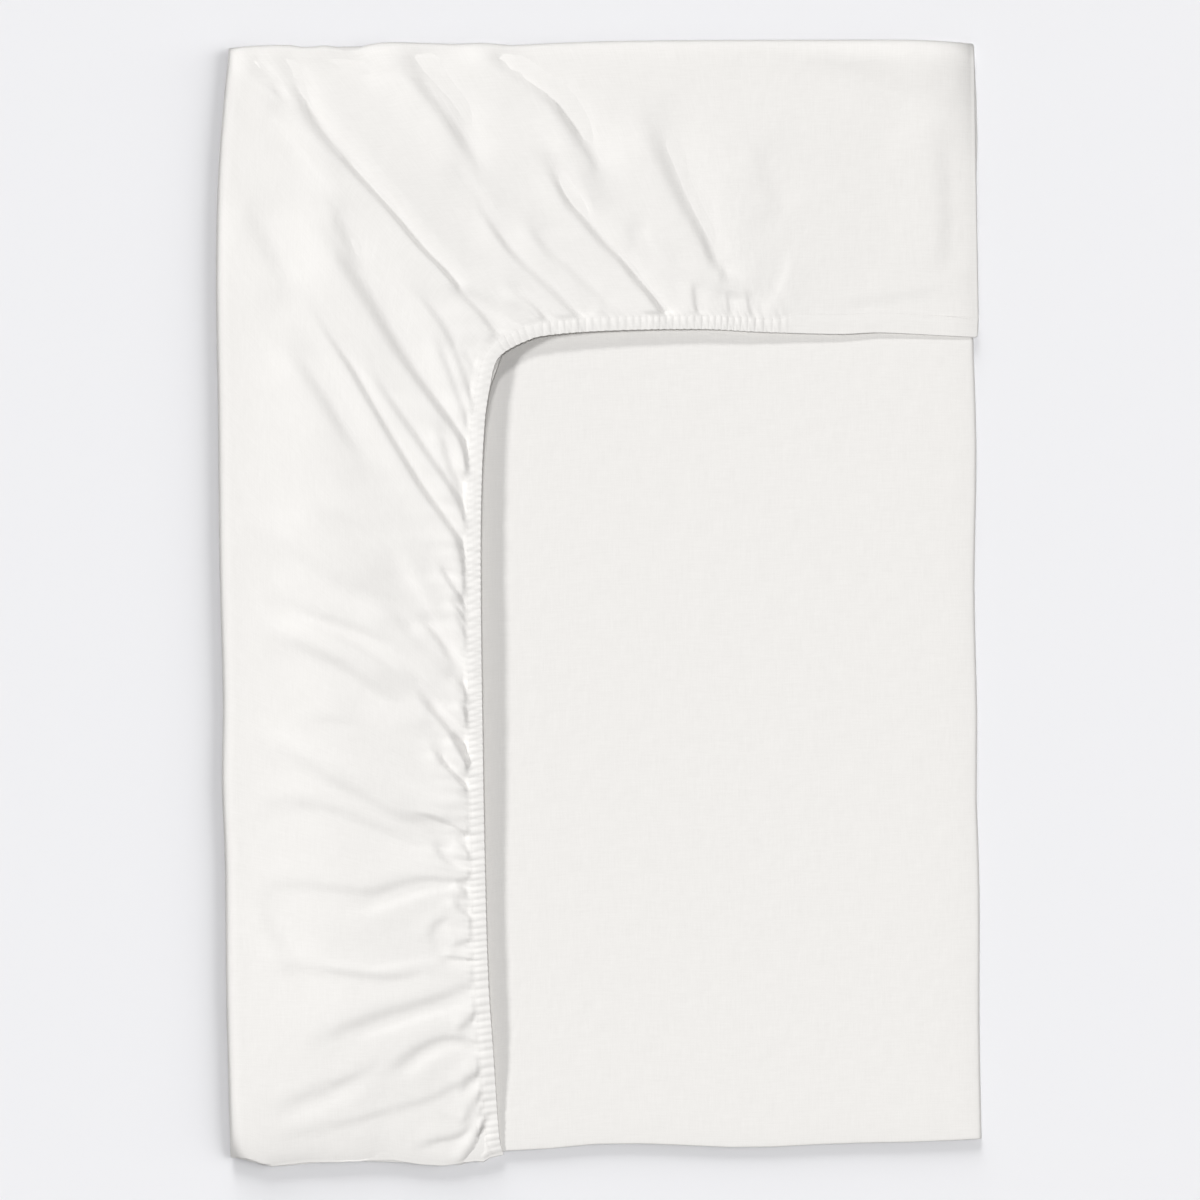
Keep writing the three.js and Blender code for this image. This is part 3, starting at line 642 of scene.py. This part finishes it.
def panel_places(share_across, share_down):
    """Across and down of places on the panels, by the shares of the width and the length."""
    sizes = sizes_in_mm()
    across = lerp(WALL_INSET, sizes.width - RIGHT_INSET, share_across)
    down = lerp(WALL_INSET, sizes.length - BOTTOM_INSET, share_down)
    left = WALL_INSET - reading(LEFT_SIDE, down)
    right = sizes.width - RIGHT_INSET + reading(RIGHT_SIDE, down)
    top = WALL_INSET - reading(TOP_SIDE, across)
    bottom = sizes.length - BOTTOM_INSET + reading(BOTTOM_SIDE, across)
    return lerp(left, right, share_across), lerp(top, bottom, share_down)


def level(layer):
    """Height of the middle of a layer, with the lowest layer as the first."""
    return sizes_in_mm().cloth / 2 + (layer - 1) * PITCH


def zone_lines(panel_cut):
    """Where the zones of the cut start and end, from its edge to past the middle fold."""
    lines = {}
    start = 0.0
    for zone, width in (
        ("turned", TURNED_IN),
        ("casing", CASING_CUT),
        ("skirt", SKIRT_CUT),
        ("wall", WALL_CUT),
        ("panel", panel_cut),
        ("fold", FOLD_CUT),
    ):
        lines[zone] = (start, start + width)
        start += width
    return lines


def panel_cuts():
    """Width and length of one panel."""
    sizes = sizes_in_mm()
    return sizes.width - WALL_INSET - RIGHT_INSET, sizes.length - WALL_INSET - BOTTOM_INSET


def cut_size():
    """Width and length of the whole flat cut, and its area without the four corners."""
    whole = [2 * zone_lines(cut)["fold"][0] + FOLD_CUT for cut in panel_cuts()]
    corner = zone_lines(0)["panel"][0]
    return whole[0], whole[1], whole[0] * whole[1] - 4 * corner * corner


def zone_share(zone, distance):
    """How far through a zone a distance from the edge of the cut is."""
    start, end = zone
    return np.clip((distance - start) / (end - start), 0, 1)


# Points on one side: how far past the stitch line they are, and their shares of the skirt and of the wall
SidePoints = namedtuple("SidePoints", "past t w")


class Zones:
    """Where each point of the cut lies in its zones, along one direction of the cut."""

    def __init__(self, distance, panel_cut):
        lines = zone_lines(panel_cut)
        fold_start, fold_end = lines["fold"]
        middle = fold_end / 2 + fold_start / 2
        folded = np.where(distance > middle, 2 * middle - distance, distance)
        self.past = lines["casing"][1] - folded
        self.t = 1 - zone_share(lines["skirt"], folded)
        self.w = 1 - zone_share(lines["wall"], folded)
        self.panel = zone_share(lines["panel"], folded)
        self.fold = zone_share(lines["fold"], distance)
        self.side = folded < lines["panel"][0] - TOLERANCE

    def points(self, chosen):
        return SidePoints(self.past[chosen], self.t[chosen], self.w[chosen])


def wall_places(quarter, side, along, w):
    """The wall from a quarter's panel, where w is nought, to its skirt, where it is one."""
    zero = np.zeros_like(along)
    across, down = panel_places(zero, along) if side == "left" else panel_places(along, zero)
    radius = (QUARTERS + 0.5 - quarter) * PITCH
    bulge = radius * np.sin(w * math.pi)
    length = panel_cuts()[1 if side == "left" else 0]
    corner = 1 - smoothstep(along * length, 0, CORNER_RUN)
    across = across - bulge * (1 if side == "left" else corner)
    down = down - bulge * (1 if side == "top" else corner)
    return across, down, level(QUARTERS + 0.5) - radius * np.cos(w * math.pi)


def plain_share(side, meets):
    """Nought on the gathered casing and one on the plain hem."""
    return smoothstep(meets, ELASTIC_ENDS_AT, PLAIN_FROM) if side == "top" else np.zeros_like(meets)


def casing_width(side, meets):
    sizes = sizes_in_mm()
    return lerp(sizes.casing, sizes.plain_hem, plain_share(side, meets))


def casing_section(quarter, past, run, width, gathered):
    """The casing, a flat tube with ribs where it is gathered: distance inside its free edge, and height."""
    inside = width * reading([(row.past, row.inside) for row in CASING_SECTION], past)
    rise = reading([(row.past, row.rise) for row in CASING_SECTION], past) * lerp(PLAIN_RISE, 1, gathered)
    if quarter > 1:
        return inside + HIDDEN_INSET * (quarter - 1), rise * HIDDEN_RISE
    rib = rib_heights(run + reading(RIB_LEAN, run) * past)
    on_casing = smoothstep(past, 0, RIBS_FROM) * (1 - smoothstep(past, *RIBS_TO)) * gathered
    inside = inside - RIB_WAVER * rib * smoothstep(past, *WAVER_RUN) * on_casing
    return inside, rise + RIB_HEIGHT * rib * on_casing


def skirt_heights(quarter, side, along, t, across, down, run):
    """Height of a skirt over its lowest place: the puff, and on the visible one its creases and gathers."""
    puff = reading(PUFF[side], along) * (STEEP_PART * smoothstep(t, 0, STEEP_TO) + EVEN_PART * t)
    swell = reading(SWELL[side], along) * np.sin(math.pi * t)
    if side == "top":
        behind = 1 - np.exp(-t * SKIRT_CUT / FAR_RUN)
        swell = swell + FAR_RISE * smoothstep(along, 0, FAR_START) * behind * (1 - t)
    height = (puff + swell) * (QUARTERS + 1 - quarter) / QUARTERS
    if quarter > 1:
        return height
    back = (1 - t) * SKIRT_CUT
    at_stitch = lerp(CREASED_AT_STITCH, 1, smoothstep(back, 0, CREASED_RUN))
    creases = crease_heights(across, down) * smoothstep(t, 0, CREASED_FROM) * at_stitch
    gathered = 1 - plain_share(side, reading(DRAW[side], along))
    return height + creases + gather_heights(run, back) * gathered


def near_drop(quarter, along, t, across, width):
    """How far the left skirt comes down to the outline of the near side."""
    sizes = sizes_in_mm()
    one = np.ones_like(along)
    outer = wall_places(quarter, "left", one, one)[1]
    inner = HEM_LINE.place("left", one, width)[1]
    lowest = sizes.length - BOTTOM_INSET + reading(BOTTOM_SIDE, across)
    return (lowest - lerp(outer, inner, t)) * smoothstep(along, NEAR_FROM, 1)


def side_places(quarter, side, along, points):
    """Where points on the wall, the skirt and the casing of one side of a quarter lie."""
    meets = reading(DRAW[side], along)
    run = HEM_LINE.run(side, meets)
    width = casing_width(side, meets)
    wall_across, wall_down, wall_height = wall_places(quarter, side, along, points.w)
    stitch_across, stitch_down = HEM_LINE.place(side, meets, width)
    across = lerp(wall_across, stitch_across, points.t)
    down = lerp(wall_down, stitch_down, points.t)
    if side == "left":
        down = down + near_drop(quarter, along, points.t, across, width)

    on_hem = points.past > 0
    past = np.maximum(points.past, 0)
    inside, rise = casing_section(quarter, past, run, width, 1 - plain_share(side, meets))
    hem_across, hem_down = HEM_LINE.place(side, meets, inside)
    shift_down = (down - stitch_down) if side == "left" else 0.0
    across = np.where(on_hem, hem_across, across)
    down = np.where(on_hem, hem_down + shift_down, down)

    panel_top = level(QUARTERS)
    free = level(2 * QUARTERS + 1 - quarter) - panel_top
    settled = panel_top + free * lerp(1, reading(CLOSE[side], along), smoothstep(points.t, 0, CLOSE_FROM))
    lifted = skirt_heights(quarter, side, along, points.t, across, down, run)
    height = settled + lifted + np.where(on_hem, rise, 0)
    on_skirt = (points.t > 0) | on_hem
    places = np.stack([across, down, height], axis=1)
    return np.where(on_skirt[:, None], places, np.stack([wall_across, wall_down, wall_height], axis=1))


def quarter_places(quarter, columns, rows):
    """Where every point of the cut would lie if it were in one quarter."""
    across, down = panel_places(columns.panel, rows.panel)
    places = np.stack([across, down, np.full_like(across, level(quarter))], axis=1)
    left = columns.side
    top = rows.side & ~left
    places[left] = side_places(quarter, "left", rows.panel[left], columns.points(left))
    places[top] = side_places(quarter, "top", columns.panel[top], rows.points(top))
    panel_width, panel_length = panel_cuts()
    from_fold = np.minimum((1 - columns.panel) * panel_width, (1 - rows.panel) * panel_length)
    rise = places[:, 2] - level(1)
    pressed = lerp(PRESSED_LOW, PRESSED_HIGH, smoothstep(rise, LOW_RISE, HIGH_RISE))
    places[:, 2] = level(1) + rise * (1 - pressed * np.exp(-from_fold / PRESSED_RUN))
    return places


def carry_over(first, second, share, outward, radius):
    """Carries places round a rounded fold from one layer to another, twice the radius away."""
    turn = math.pi * share[:, None]
    return lerp(first, second, (1 - np.cos(turn)) / 2) + np.array(outward) * radius * np.sin(turn)


def folded_places(cut_across, cut_down):
    """Where the points of the flat cut lie once the sheet is folded in four."""
    panel_width, panel_length = panel_cuts()
    columns = Zones(cut_across, panel_width)
    rows = Zones(cut_down, panel_length)
    first, second, third, fourth = (quarter_places(1 + i, columns, rows) for i in range(QUARTERS))
    far = carry_over(first, fourth, columns.fold, (1, 0, 0), 1.5 * PITCH)
    near = carry_over(second, third, columns.fold, (1, 0, 0), 0.5 * PITCH)
    return carry_over(far, near, rows.fold, (0, 1, 0), 0.5 * PITCH)


def line_places(panel_cut, panel_steps):
    """Where the base lines of the cut lie along one direction, from edge to edge."""
    zones = zone_lines(panel_cut)
    places = list(np.linspace(*zones["turned"], TURNED_STEPS + 1))[:-1]
    places += [zones["casing"][1] - past for past in CASING_LINES]
    places += [zones["skirt"][0] + distance for distance in SKIRT_LINES][:-1]
    places += list(np.linspace(*zones["wall"], WALL_STEPS + 1))[:-1]
    start, end = zones["panel"]
    places += list(np.linspace(start, end - FOLD_SIDE_LINES[0], panel_steps + 1))
    places += [end - distance for distance in FOLD_SIDE_LINES[1:]] + [end]
    middle = (zones["fold"][0] + zones["fold"][1]) / 2
    fold = list(np.linspace(*zones["fold"], FOLD_STEPS + 1))[1:-1]
    return places + fold + [2 * middle - place for place in reversed(places)]


def from_cut_edges(place, whole):
    """Distances of a place on the flat cut from the nearer edges of the sheet, across and down."""
    return min(place.x, whole[0] - place.x), min(place.y, whole[1] - place.y)


def cut_out_corners(bm):
    whole = cut_size()
    corner = zone_lines(0)["panel"][0]
    cut_out = [face for face in bm.faces if max(from_cut_edges(face.calc_center_median(), whole)) < corner]
    bmesh.ops.delete(bm, geom=cut_out, context="FACES")


def subdivide(bm, zone, axis, longest):
    """Halves the edges that run along one axis in a zone of the flat cut until none is too long."""
    low_across, low_down, high_across, high_down = zone
    while True:
        chosen = []
        for edge in bm.edges:
            start, end = (vertex.co for vertex in edge.verts)
            if abs(end[1 - axis] - start[1 - axis]) > TOLERANCE or abs(end[axis] - start[axis]) < longest:
                continue
            middle = (start + end) / 2
            if low_across < middle[0] < high_across and low_down < middle[1] < high_down:
                chosen.append(edge)
        if not chosen:
            return
        bmesh.ops.subdivide_edges(bm, edges=chosen, cuts=1, use_grid_fill=True)


def add_fine_lines(bm):
    """Adds lines where the visible skirt and its casing will be."""
    stitch = zone_lines(0)["skirt"][0]
    side = zone_lines(0)["panel"][0] - SLACK
    last_across, last_down = (zone_lines(panel)["panel"][1] + SLACK for panel in panel_cuts())
    for edges in ALONG_HEM:
        inner = stitch + edges.reach - SLACK
        subdivide(bm, (-SLACK, side, inner, last_down), 1, edges.longest)
        subdivide(bm, (side, -SLACK, last_across, inner), 0, edges.longest)
    start = stitch
    for edges in ACROSS_HEM:
        end = stitch + edges.reach
        subdivide(bm, (start, side, end, last_down), 0, edges.longest)
        subdivide(bm, (side, start, last_across, end), 1, edges.longest)
        start = end


def keep_edge_crisp(bm):
    """Keeps the casing's free edge crisp, where the elastic holds the cloth round it."""
    whole = cut_size()
    crisp = zone_lines(0)["casing"][1] - CRISP_LINE
    for edge in bm.edges:
        off_line = [abs(min(from_cut_edges(end.co, whole)) - crisp) for end in edge.verts]
        if max(off_line) < ON_LINE:
            edge.smooth = False


def cut_cloth():
    """The flat cut as a bmesh: a grid without its corners, fine where the gathers will be."""
    panel_width, panel_length = panel_cuts()
    columns = line_places(panel_width, PANEL_COLUMNS)
    rows = line_places(panel_length, PANEL_ROWS)
    bm = bmesh.new()
    bmesh.ops.create_grid(bm, x_segments=len(columns) - 1, y_segments=len(rows) - 1, size=0.5)
    for vertex in bm.verts:
        column = round((vertex.co.x + 0.5) * (len(columns) - 1))
        row = round((vertex.co.y + 0.5) * (len(rows) - 1))
        vertex.co = (columns[column], rows[row], 0)
    cut_out_corners(bm)
    add_fine_lines(bm)
    keep_edge_crisp(bm)
    return bm


def fold_cloth(bm):
    """Moves the points of the cut to where they lie when it is folded, and sews the corner seams."""
    flat = bm.loops.layers.uv.new("cut")
    longest = max(cut_size()[:2])
    for face in bm.faces:
        for loop in face.loops:
            loop[flat].uv = loop.vert.co.xy / longest
    cut = np.array([vertex.co[:] for vertex in bm.verts])
    places = folded_places(cut[:, 0], cut[:, 1])
    for vertex, place in zip(bm.verts, places):
        vertex.co = frame_place(*place)
    seams = [vertex for vertex in bm.verts if vertex.is_boundary]
    bmesh.ops.remove_doubles(bm, verts=seams, dist=SEAM_GAP * MM)


def frame_place(across, down, height):
    """A place in the frame, in metres."""
    return Vector((across - ORIGIN_ACROSS, ORIGIN_DOWN - down, height)) * MM


def finished_mesh(bm, name):
    mesh = bpy.data.meshes.new(name)
    bm.to_mesh(mesh)
    bm.free()
    return mesh


def new_object(name, data):
    """Puts a mesh, a light or a camera in the scene."""
    made = bpy.data.objects.new(name, data)
    bpy.context.scene.collection.objects.link(made)
    return made


def new_piece(bm, name, material):
    """Makes a bmesh a smooth piece of the object."""
    mesh = finished_mesh(bm, name)
    mesh.shade_smooth()
    mesh.materials.append(material)
    piece = new_object(name, mesh)
    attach(piece, "root")
    return piece


class Nodes:
    """A short way to build a material's nodes."""

    def __init__(self, name):
        self.material = bpy.data.materials.new(name)
        self.material.use_nodes = True
        self.tree = self.material.node_tree
        self.shader = self.tree.nodes["Principled BSDF"]

    def set_shader(self, values):
        for key, value in values.items():
            self.shader.inputs[key].default_value = value

    def add(self, kind, values=None, **settings):
        node = self.tree.nodes.new(kind)
        for key, value in settings.items():
            setattr(node, key, value)
        for key, value in (values or {}).items():
            node.inputs[key].default_value = value
        return node

    def mixed(self, first, second):
        return self.add("ShaderNodeMixRGB", {"Color1": (*first, 1), "Color2": (*second, 1)})

    def join(self, source, output, target, socket):
        self.tree.links.new(source.outputs[output], target.inputs[socket])


# The weave: how far its threads are apart, and what Blender's wave texture turns in one unit, in radians
THREAD_PITCH = 0.62
WAVE_RADIANS = 20

# Thicker threads show as short streaks: how often they change along and across them, for each mm
STREAK_ALONG = 0.045
STREAK_ACROSS = 0.9

# Heights of the cotton's relief in mm: soft unevenness, thicker threads, and the weave
CRUMPLE_RELIEF = 0.9
STREAK_RELIEF = 0.12
WEAVE_RELIEF = 0.06

# Twist of the sewing thread: the scale of its waves, and its relief in mm
TWIST = 900.0
TWIST_RELIEF = 0.1


def cotton_material(colours):
    """Woven cotton: fine threads both ways, thicker ones here and there, and a slightly uneven white."""
    nodes = Nodes("woven_cotton")
    shader = nodes.shader
    nodes.set_shader({"Roughness": 0.93, "Specular IOR Level": 0.25})
    nodes.set_shader({"Sheen Weight": 0.08, "Sheen Roughness": 0.5})
    place = nodes.add("ShaderNodeUVMap", uv_map="cut")
    longest = max(cut_size()[:2])
    threads = nodes.add("ShaderNodeMapping", {"Scale": (longest, longest, 1)})
    nodes.join(place, "UV", threads, "Vector")

    # Threads of the warp and the weft, one sine wave for each
    wave_turn = 2 * math.pi / WAVE_RADIANS
    weave = nodes.add("ShaderNodeMath", operation="MAXIMUM")
    waves = []
    for direction in ("X", "Y"):
        wave = nodes.add(
            "ShaderNodeTexWave",
            {"Scale": wave_turn / THREAD_PITCH, "Distortion": 0.6, "Detail": 1.0, "Detail Scale": 0.3},
            bands_direction=direction,
        )
        nodes.join(threads, "Vector", wave, "Vector")
        waves.append(wave)
    nodes.join(waves[0], "Fac", weave, 0)
    nodes.join(waves[1], "Fac", weave, 1)

    # Thicker threads show as short streaks along both directions
    slubs = nodes.add("ShaderNodeMath", operation="ADD")
    for i, stretch in enumerate(((STREAK_ALONG, STREAK_ACROSS), (STREAK_ACROSS, STREAK_ALONG))):
        along = nodes.add("ShaderNodeMapping", {"Scale": (longest * stretch[0], longest * stretch[1], 1)})
        nodes.join(place, "UV", along, "Vector")
        streak = nodes.add("ShaderNodeTexNoise", {"Scale": 1.0, "Detail": 3.0, "Roughness": 0.6})
        nodes.join(along, "Vector", streak, "Vector")
        nodes.join(streak, "Fac", slubs, i)

    # Soft unevenness of the cloth, a few centimetres across and finer
    crumple = nodes.add("ShaderNodeTexNoise", {"Scale": 0.05, "Detail": 5.0, "Roughness": 0.55})
    nodes.join(threads, "Vector", crumple, "Vector")

    tint = nodes.mixed(colours.cotton, colours.cotton_deep)
    shade = nodes.add("ShaderNodeMapRange", {"From Min": 0.75, "From Max": 1.3})
    nodes.join(slubs, "Value", shade, "Value")
    nodes.join(shade, "Result", tint, "Fac")
    nodes.join(tint, "Color", shader, "Base Color")

    soft = nodes.add("ShaderNodeBump", {"Strength": 0.5, "Distance": CRUMPLE_RELIEF * MM})
    nodes.join(crumple, "Fac", soft, "Height")
    streaky = nodes.add("ShaderNodeBump", {"Strength": 0.35, "Distance": STREAK_RELIEF * MM})
    nodes.join(slubs, "Value", streaky, "Height")
    nodes.join(soft, "Normal", streaky, "Normal")
    fine = nodes.add("ShaderNodeBump", {"Strength": 0.5, "Distance": WEAVE_RELIEF * MM})
    nodes.join(weave, "Value", fine, "Height")
    nodes.join(streaky, "Normal", fine, "Normal")
    nodes.join(fine, "Normal", shader, "Normal")
    return nodes.material


def thread_material(colours):
    """Sewing thread, twisted, a little brighter than the cloth."""
    nodes = Nodes("sewing_thread")
    shader = nodes.shader
    nodes.set_shader({"Roughness": 0.7, "Sheen Weight": 0.15})
    place = nodes.add("ShaderNodeTexCoord")
    twist = nodes.add("ShaderNodeTexWave", {"Scale": TWIST, "Distortion": 1.0}, bands_direction="DIAGONAL")
    nodes.join(place, "Object", twist, "Vector")
    tint = nodes.mixed(colours.cotton_deep, colours.thread)
    nodes.join(twist, "Fac", tint, "Fac")
    nodes.join(tint, "Color", shader, "Base Color")
    bump = nodes.add("ShaderNodeBump", {"Strength": 0.6, "Distance": TWIST_RELIEF * MM})
    nodes.join(twist, "Fac", bump, "Height")
    nodes.join(bump, "Normal", shader, "Normal")
    return nodes.material


def floor_material(colours):
    nodes = Nodes("pale_floor")
    nodes.set_shader({"Base Color": (*colours.floor, 1), "Roughness": 1.0, "Specular IOR Level": 0.0})
    return nodes.material


class ProtectorSizes(bpy.types.PropertyGroup):
    """Sizes of the folded protector."""

    width: FloatProperty(
        name="Width", description="Width of the folded cloth", default=0.703, unit="LENGTH"
    )
    length: FloatProperty(
        name="Length", description="Length of the folded cloth", default=1.027, unit="LENGTH"
    )
    cloth: FloatProperty(
        name="Cloth", description="Thickness of the cloth", default=0.0005, unit="LENGTH", precision=5
    )
    casing: FloatProperty(
        name="Casing", description="Width of the gathered casing", default=0.0125, unit="LENGTH", precision=4
    )
    plain_hem: FloatProperty(
        name="Plain hem",
        description="Width of the hem without elastic",
        default=0.0185,
        unit="LENGTH",
        precision=4,
    )
    stitch: FloatProperty(
        name="Stitch", description="Length of one stitch", default=0.0026, unit="LENGTH", precision=4
    )
    thread: FloatProperty(
        name="Thread",
        description="Thickness of the sewing thread",
        default=0.00035,
        unit="LENGTH",
        precision=5,
    )


class ProtectorColours(bpy.types.PropertyGroup):
    """Colours of the cloth, its thread and the floor."""

    cotton: FloatVectorProperty(
        name="Cotton", description="White of the cloth", subtype="COLOR", default=(0.885, 0.868, 0.845)
    )
    cotton_deep: FloatVectorProperty(
        name="Cotton, thick threads",
        description="White of the thicker threads",
        subtype="COLOR",
        default=(0.845, 0.828, 0.804),
    )
    thread: FloatVectorProperty(
        name="Thread", description="White of the sewing thread", subtype="COLOR", default=(0.9, 0.88, 0.86)
    )
    floor: FloatVectorProperty(
        name="Floor", description="Pale floor", subtype="COLOR", default=(0.845, 0.845, 0.863)
    )


class PROTECTOR_OT_cloth(bpy.types.Operator):
    """Cut the cloth flat and fold it in four"""

    bl_idname = "protector.cloth"
    bl_label = "Folded cloth"

    def execute(self, context):
        bm = cut_cloth()
        fold_cloth(bm)
        cloth = new_piece(bm, "protector_cloth", cotton_material(context.scene.protector_colours))
        thick = cloth.modifiers.new("Thickness", "SOLIDIFY")
        thick.thickness = sizes_in_mm().cloth * MM
        thick.offset = 0.0
        width, length, area = cut_size()
        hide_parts("protector")
        return {"FINISHED"}


# A stitch is a long bead of thread of few faces, which shows for this share of the stitch's length
STITCH_SHOWS = 0.8
STITCH_SIDES = 6
STITCH_RINGS = 4

# A side is measured at this many places before its stitches are set out
HEM_SAMPLES = 1500


def stitch_line(side):
    """Places of a row of stitches on the visible hem, and the direction of the row at each."""
    fine = np.linspace(0, 1, HEM_SAMPLES)
    run = np.abs(HEM_LINE.run(side, reading(DRAW[side], fine)))
    stitch = sizes_in_mm().stitch
    count = int(run[-1] / stitch)
    along = np.interp(np.arange(1, count) * stitch, run, fine)
    one = np.ones_like(along)
    places = side_places(1, side, along, SidePoints(0 * one, one, one))
    return places, np.gradient(places, axis=0)


class PROTECTOR_OT_stitching(bpy.types.Operator):
    """Sew the rows of stitches along the hem"""

    bl_idname = "protector.stitching"
    bl_label = "Hem stitching"

    def execute(self, context):
        sizes = sizes_in_mm()
        size = Matrix.Diagonal((sizes.thread, sizes.thread, STITCH_SHOWS * sizes.stitch, 1)) * MM
        size[3][3] = 1
        bm = bmesh.new()
        for side in ("left", "top"):
            for place, direction in zip(*stitch_line(side)):
                made = bmesh.ops.create_uvsphere(
                    bm, u_segments=STITCH_SIDES, v_segments=STITCH_RINGS, radius=0.5
                )
                run = Vector((direction[0], -direction[1], direction[2])).normalized()
                turn = Vector((0, 0, 1)).rotation_difference(run).to_matrix().to_4x4()
                lift = Matrix.Translation(frame_place(place[0], place[1], place[2] + sizes.cloth / 2))
                bmesh.ops.transform(bm, matrix=lift @ turn @ size, verts=made["verts"])
        stitches = new_piece(bm, "hem_stitches", thread_material(context.scene.protector_colours))
        return {"FINISHED"}


# The floor reaches this far each way, in metres. A flag runs a little past both ends of its side, in steps
# that follow the side's outline. The camera's lens and sensor are in its own millimetres.
FLOOR_REACH = 12
FLAG_ENDS = (-0.05, 1.05)
FLAG_STEPS = 59
LENS = 100
SENSOR = 36


def add_floor(colours):
    bm = bmesh.new()
    bmesh.ops.create_grid(bm, x_segments=1, y_segments=1, size=FLOOR_REACH)
    mesh = finished_mesh(bm, "floor")
    mesh.materials.append(floor_material(colours))
    floor = new_object("floor", mesh)
    return floor


def linked(name, pieces):
    """A collection of pieces that a light is tied to."""
    collection = bpy.data.collections.new(name)
    for piece in pieces:
        collection.objects.link(piece)
    return collection


def add_flag(flag):
    """A board along one side of the cloth that only stops light, unseen itself."""
    along = np.linspace(*FLAG_ENDS, FLAG_STEPS + 1)
    start = np.zeros_like(along)
    reach = flag.gap + WALL_INSET
    if flag.side == "left":
        across, down = panel_places(start, along)
        across = across - reach
    else:
        across, down = panel_places(along, start)
        down = down - reach
    bm = bmesh.new()
    foot = [bm.verts.new(frame_place(x, y, 0)) for x, y in zip(across, down)]
    edges = [bm.edges.new(pair) for pair in zip(foot, foot[1:])]
    raised = bmesh.ops.extrude_edge_only(bm, edges=edges)["geom"]
    head = [part for part in raised if isinstance(part, bmesh.types.BMVert)]
    bmesh.ops.translate(bm, vec=(0, 0, flag.height * MM), verts=head)
    board = new_object(f"{flag.side}_flag", finished_mesh(bm, f"{flag.side}_flag"))
    board.visible_camera = False
    board.visible_diffuse = False
    board.visible_glossy = False
    return board


def add_sun(light, receivers, blockers):
    """A sun whose light goes over the floor in one direction, for some objects alone."""
    height = math.radians(light.height)
    lamp = bpy.data.lights.new(light.name, "SUN")
    lamp.energy = light.share * math.pi / math.sin(height)
    lamp.angle = math.radians(light.angle)
    sun = new_object(light.name, lamp)
    across, down = np.array(light.travel) / np.hypot(*light.travel)
    ray = Vector((across * math.cos(height), -down * math.cos(height), -math.sin(height)))
    sun.rotation_euler = ray.to_track_quat("-Z", "Y").to_euler()
    sun.light_linking.receiver_collection = linked(f"{light.name}_lights", receivers)
    sun.light_linking.blocker_collection = linked(f"{light.name}_meets", blockers)


def add_world():
    world = bpy.data.worlds.new("studio")
    world.use_nodes = True
    background = world.node_tree.nodes["Background"]
    background.inputs["Color"].default_value = (1, 1, 1, 1)
    background.inputs["Strength"].default_value = WORLD_LIGHT
    bpy.context.scene.world = world


def add_camera():
    """The camera straight above, with the photograph's frame."""
    lens = bpy.data.cameras.new("camera")
    lens.lens = LENS
    lens.sensor_width = SENSOR
    camera = new_object("camera", lens)
    middle = photo_place(PHOTO_PIXELS / 2, PHOTO_PIXELS / 2)
    above = PHOTO_PIXELS * PIXEL * LENS / SENSOR
    camera.location = frame_place(*middle, above + level(2 * QUARTERS))
    bpy.context.scene.camera = camera


class PROTECTOR_OT_stage(bpy.types.Operator):
    """Set out the floor, the soft lights and the camera straight above"""

    bl_idname = "protector.stage"
    bl_label = "Studio"

    def execute(self, context):
        floor = add_floor(context.scene.protector_colours)
        cloth = [bpy.data.objects["protector_cloth"], bpy.data.objects["hem_stitches"]]
        flags = {flag.stops: add_flag(flag) for flag in FLAGS}
        for light in LIGHTS:
            stopped = [flags[light.name]] if light.name in flags else []
            add_sun(light, cloth if light.lights == "cloth" else [floor], cloth + stopped)
        add_world()
        add_camera()
        context.scene.view_settings.view_transform = "Standard"
        return {"FINISHED"}


class PROTECTOR_PT_panel(bpy.types.Panel):
    """Sizes, colours and steps of the protector"""

    bl_label = "Mattress protector"
    bl_space_type = "VIEW_3D"
    bl_region_type = "UI"
    bl_category = "Protector"

    def draw(self, context):
        for group in (context.scene.protector_sizes, context.scene.protector_colours):
            for name in group.__annotations__:
                self.layout.prop(group, name)
        for step in STEPS:
            self.layout.operator(step.bl_idname)


STEPS = (PROTECTOR_OT_cloth, PROTECTOR_OT_stitching, PROTECTOR_OT_stage)
CLASSES = (ProtectorSizes, ProtectorColours, *STEPS, PROTECTOR_PT_panel)


def register():
    for made in CLASSES:
        bpy.utils.register_class(made)
    bpy.types.Scene.protector_sizes = PointerProperty(type=ProtectorSizes)
    bpy.types.Scene.protector_colours = PointerProperty(type=ProtectorColours)


def unregister():
    del bpy.types.Scene.protector_sizes
    del bpy.types.Scene.protector_colours
    for made in reversed(CLASSES):
        bpy.utils.unregister_class(made)


def main():
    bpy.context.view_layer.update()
    register()
    bpy.ops.protector.cloth()
    bpy.ops.protector.stitching()
    bpy.ops.protector.stage()


if __name__ == "__main__":
    main()
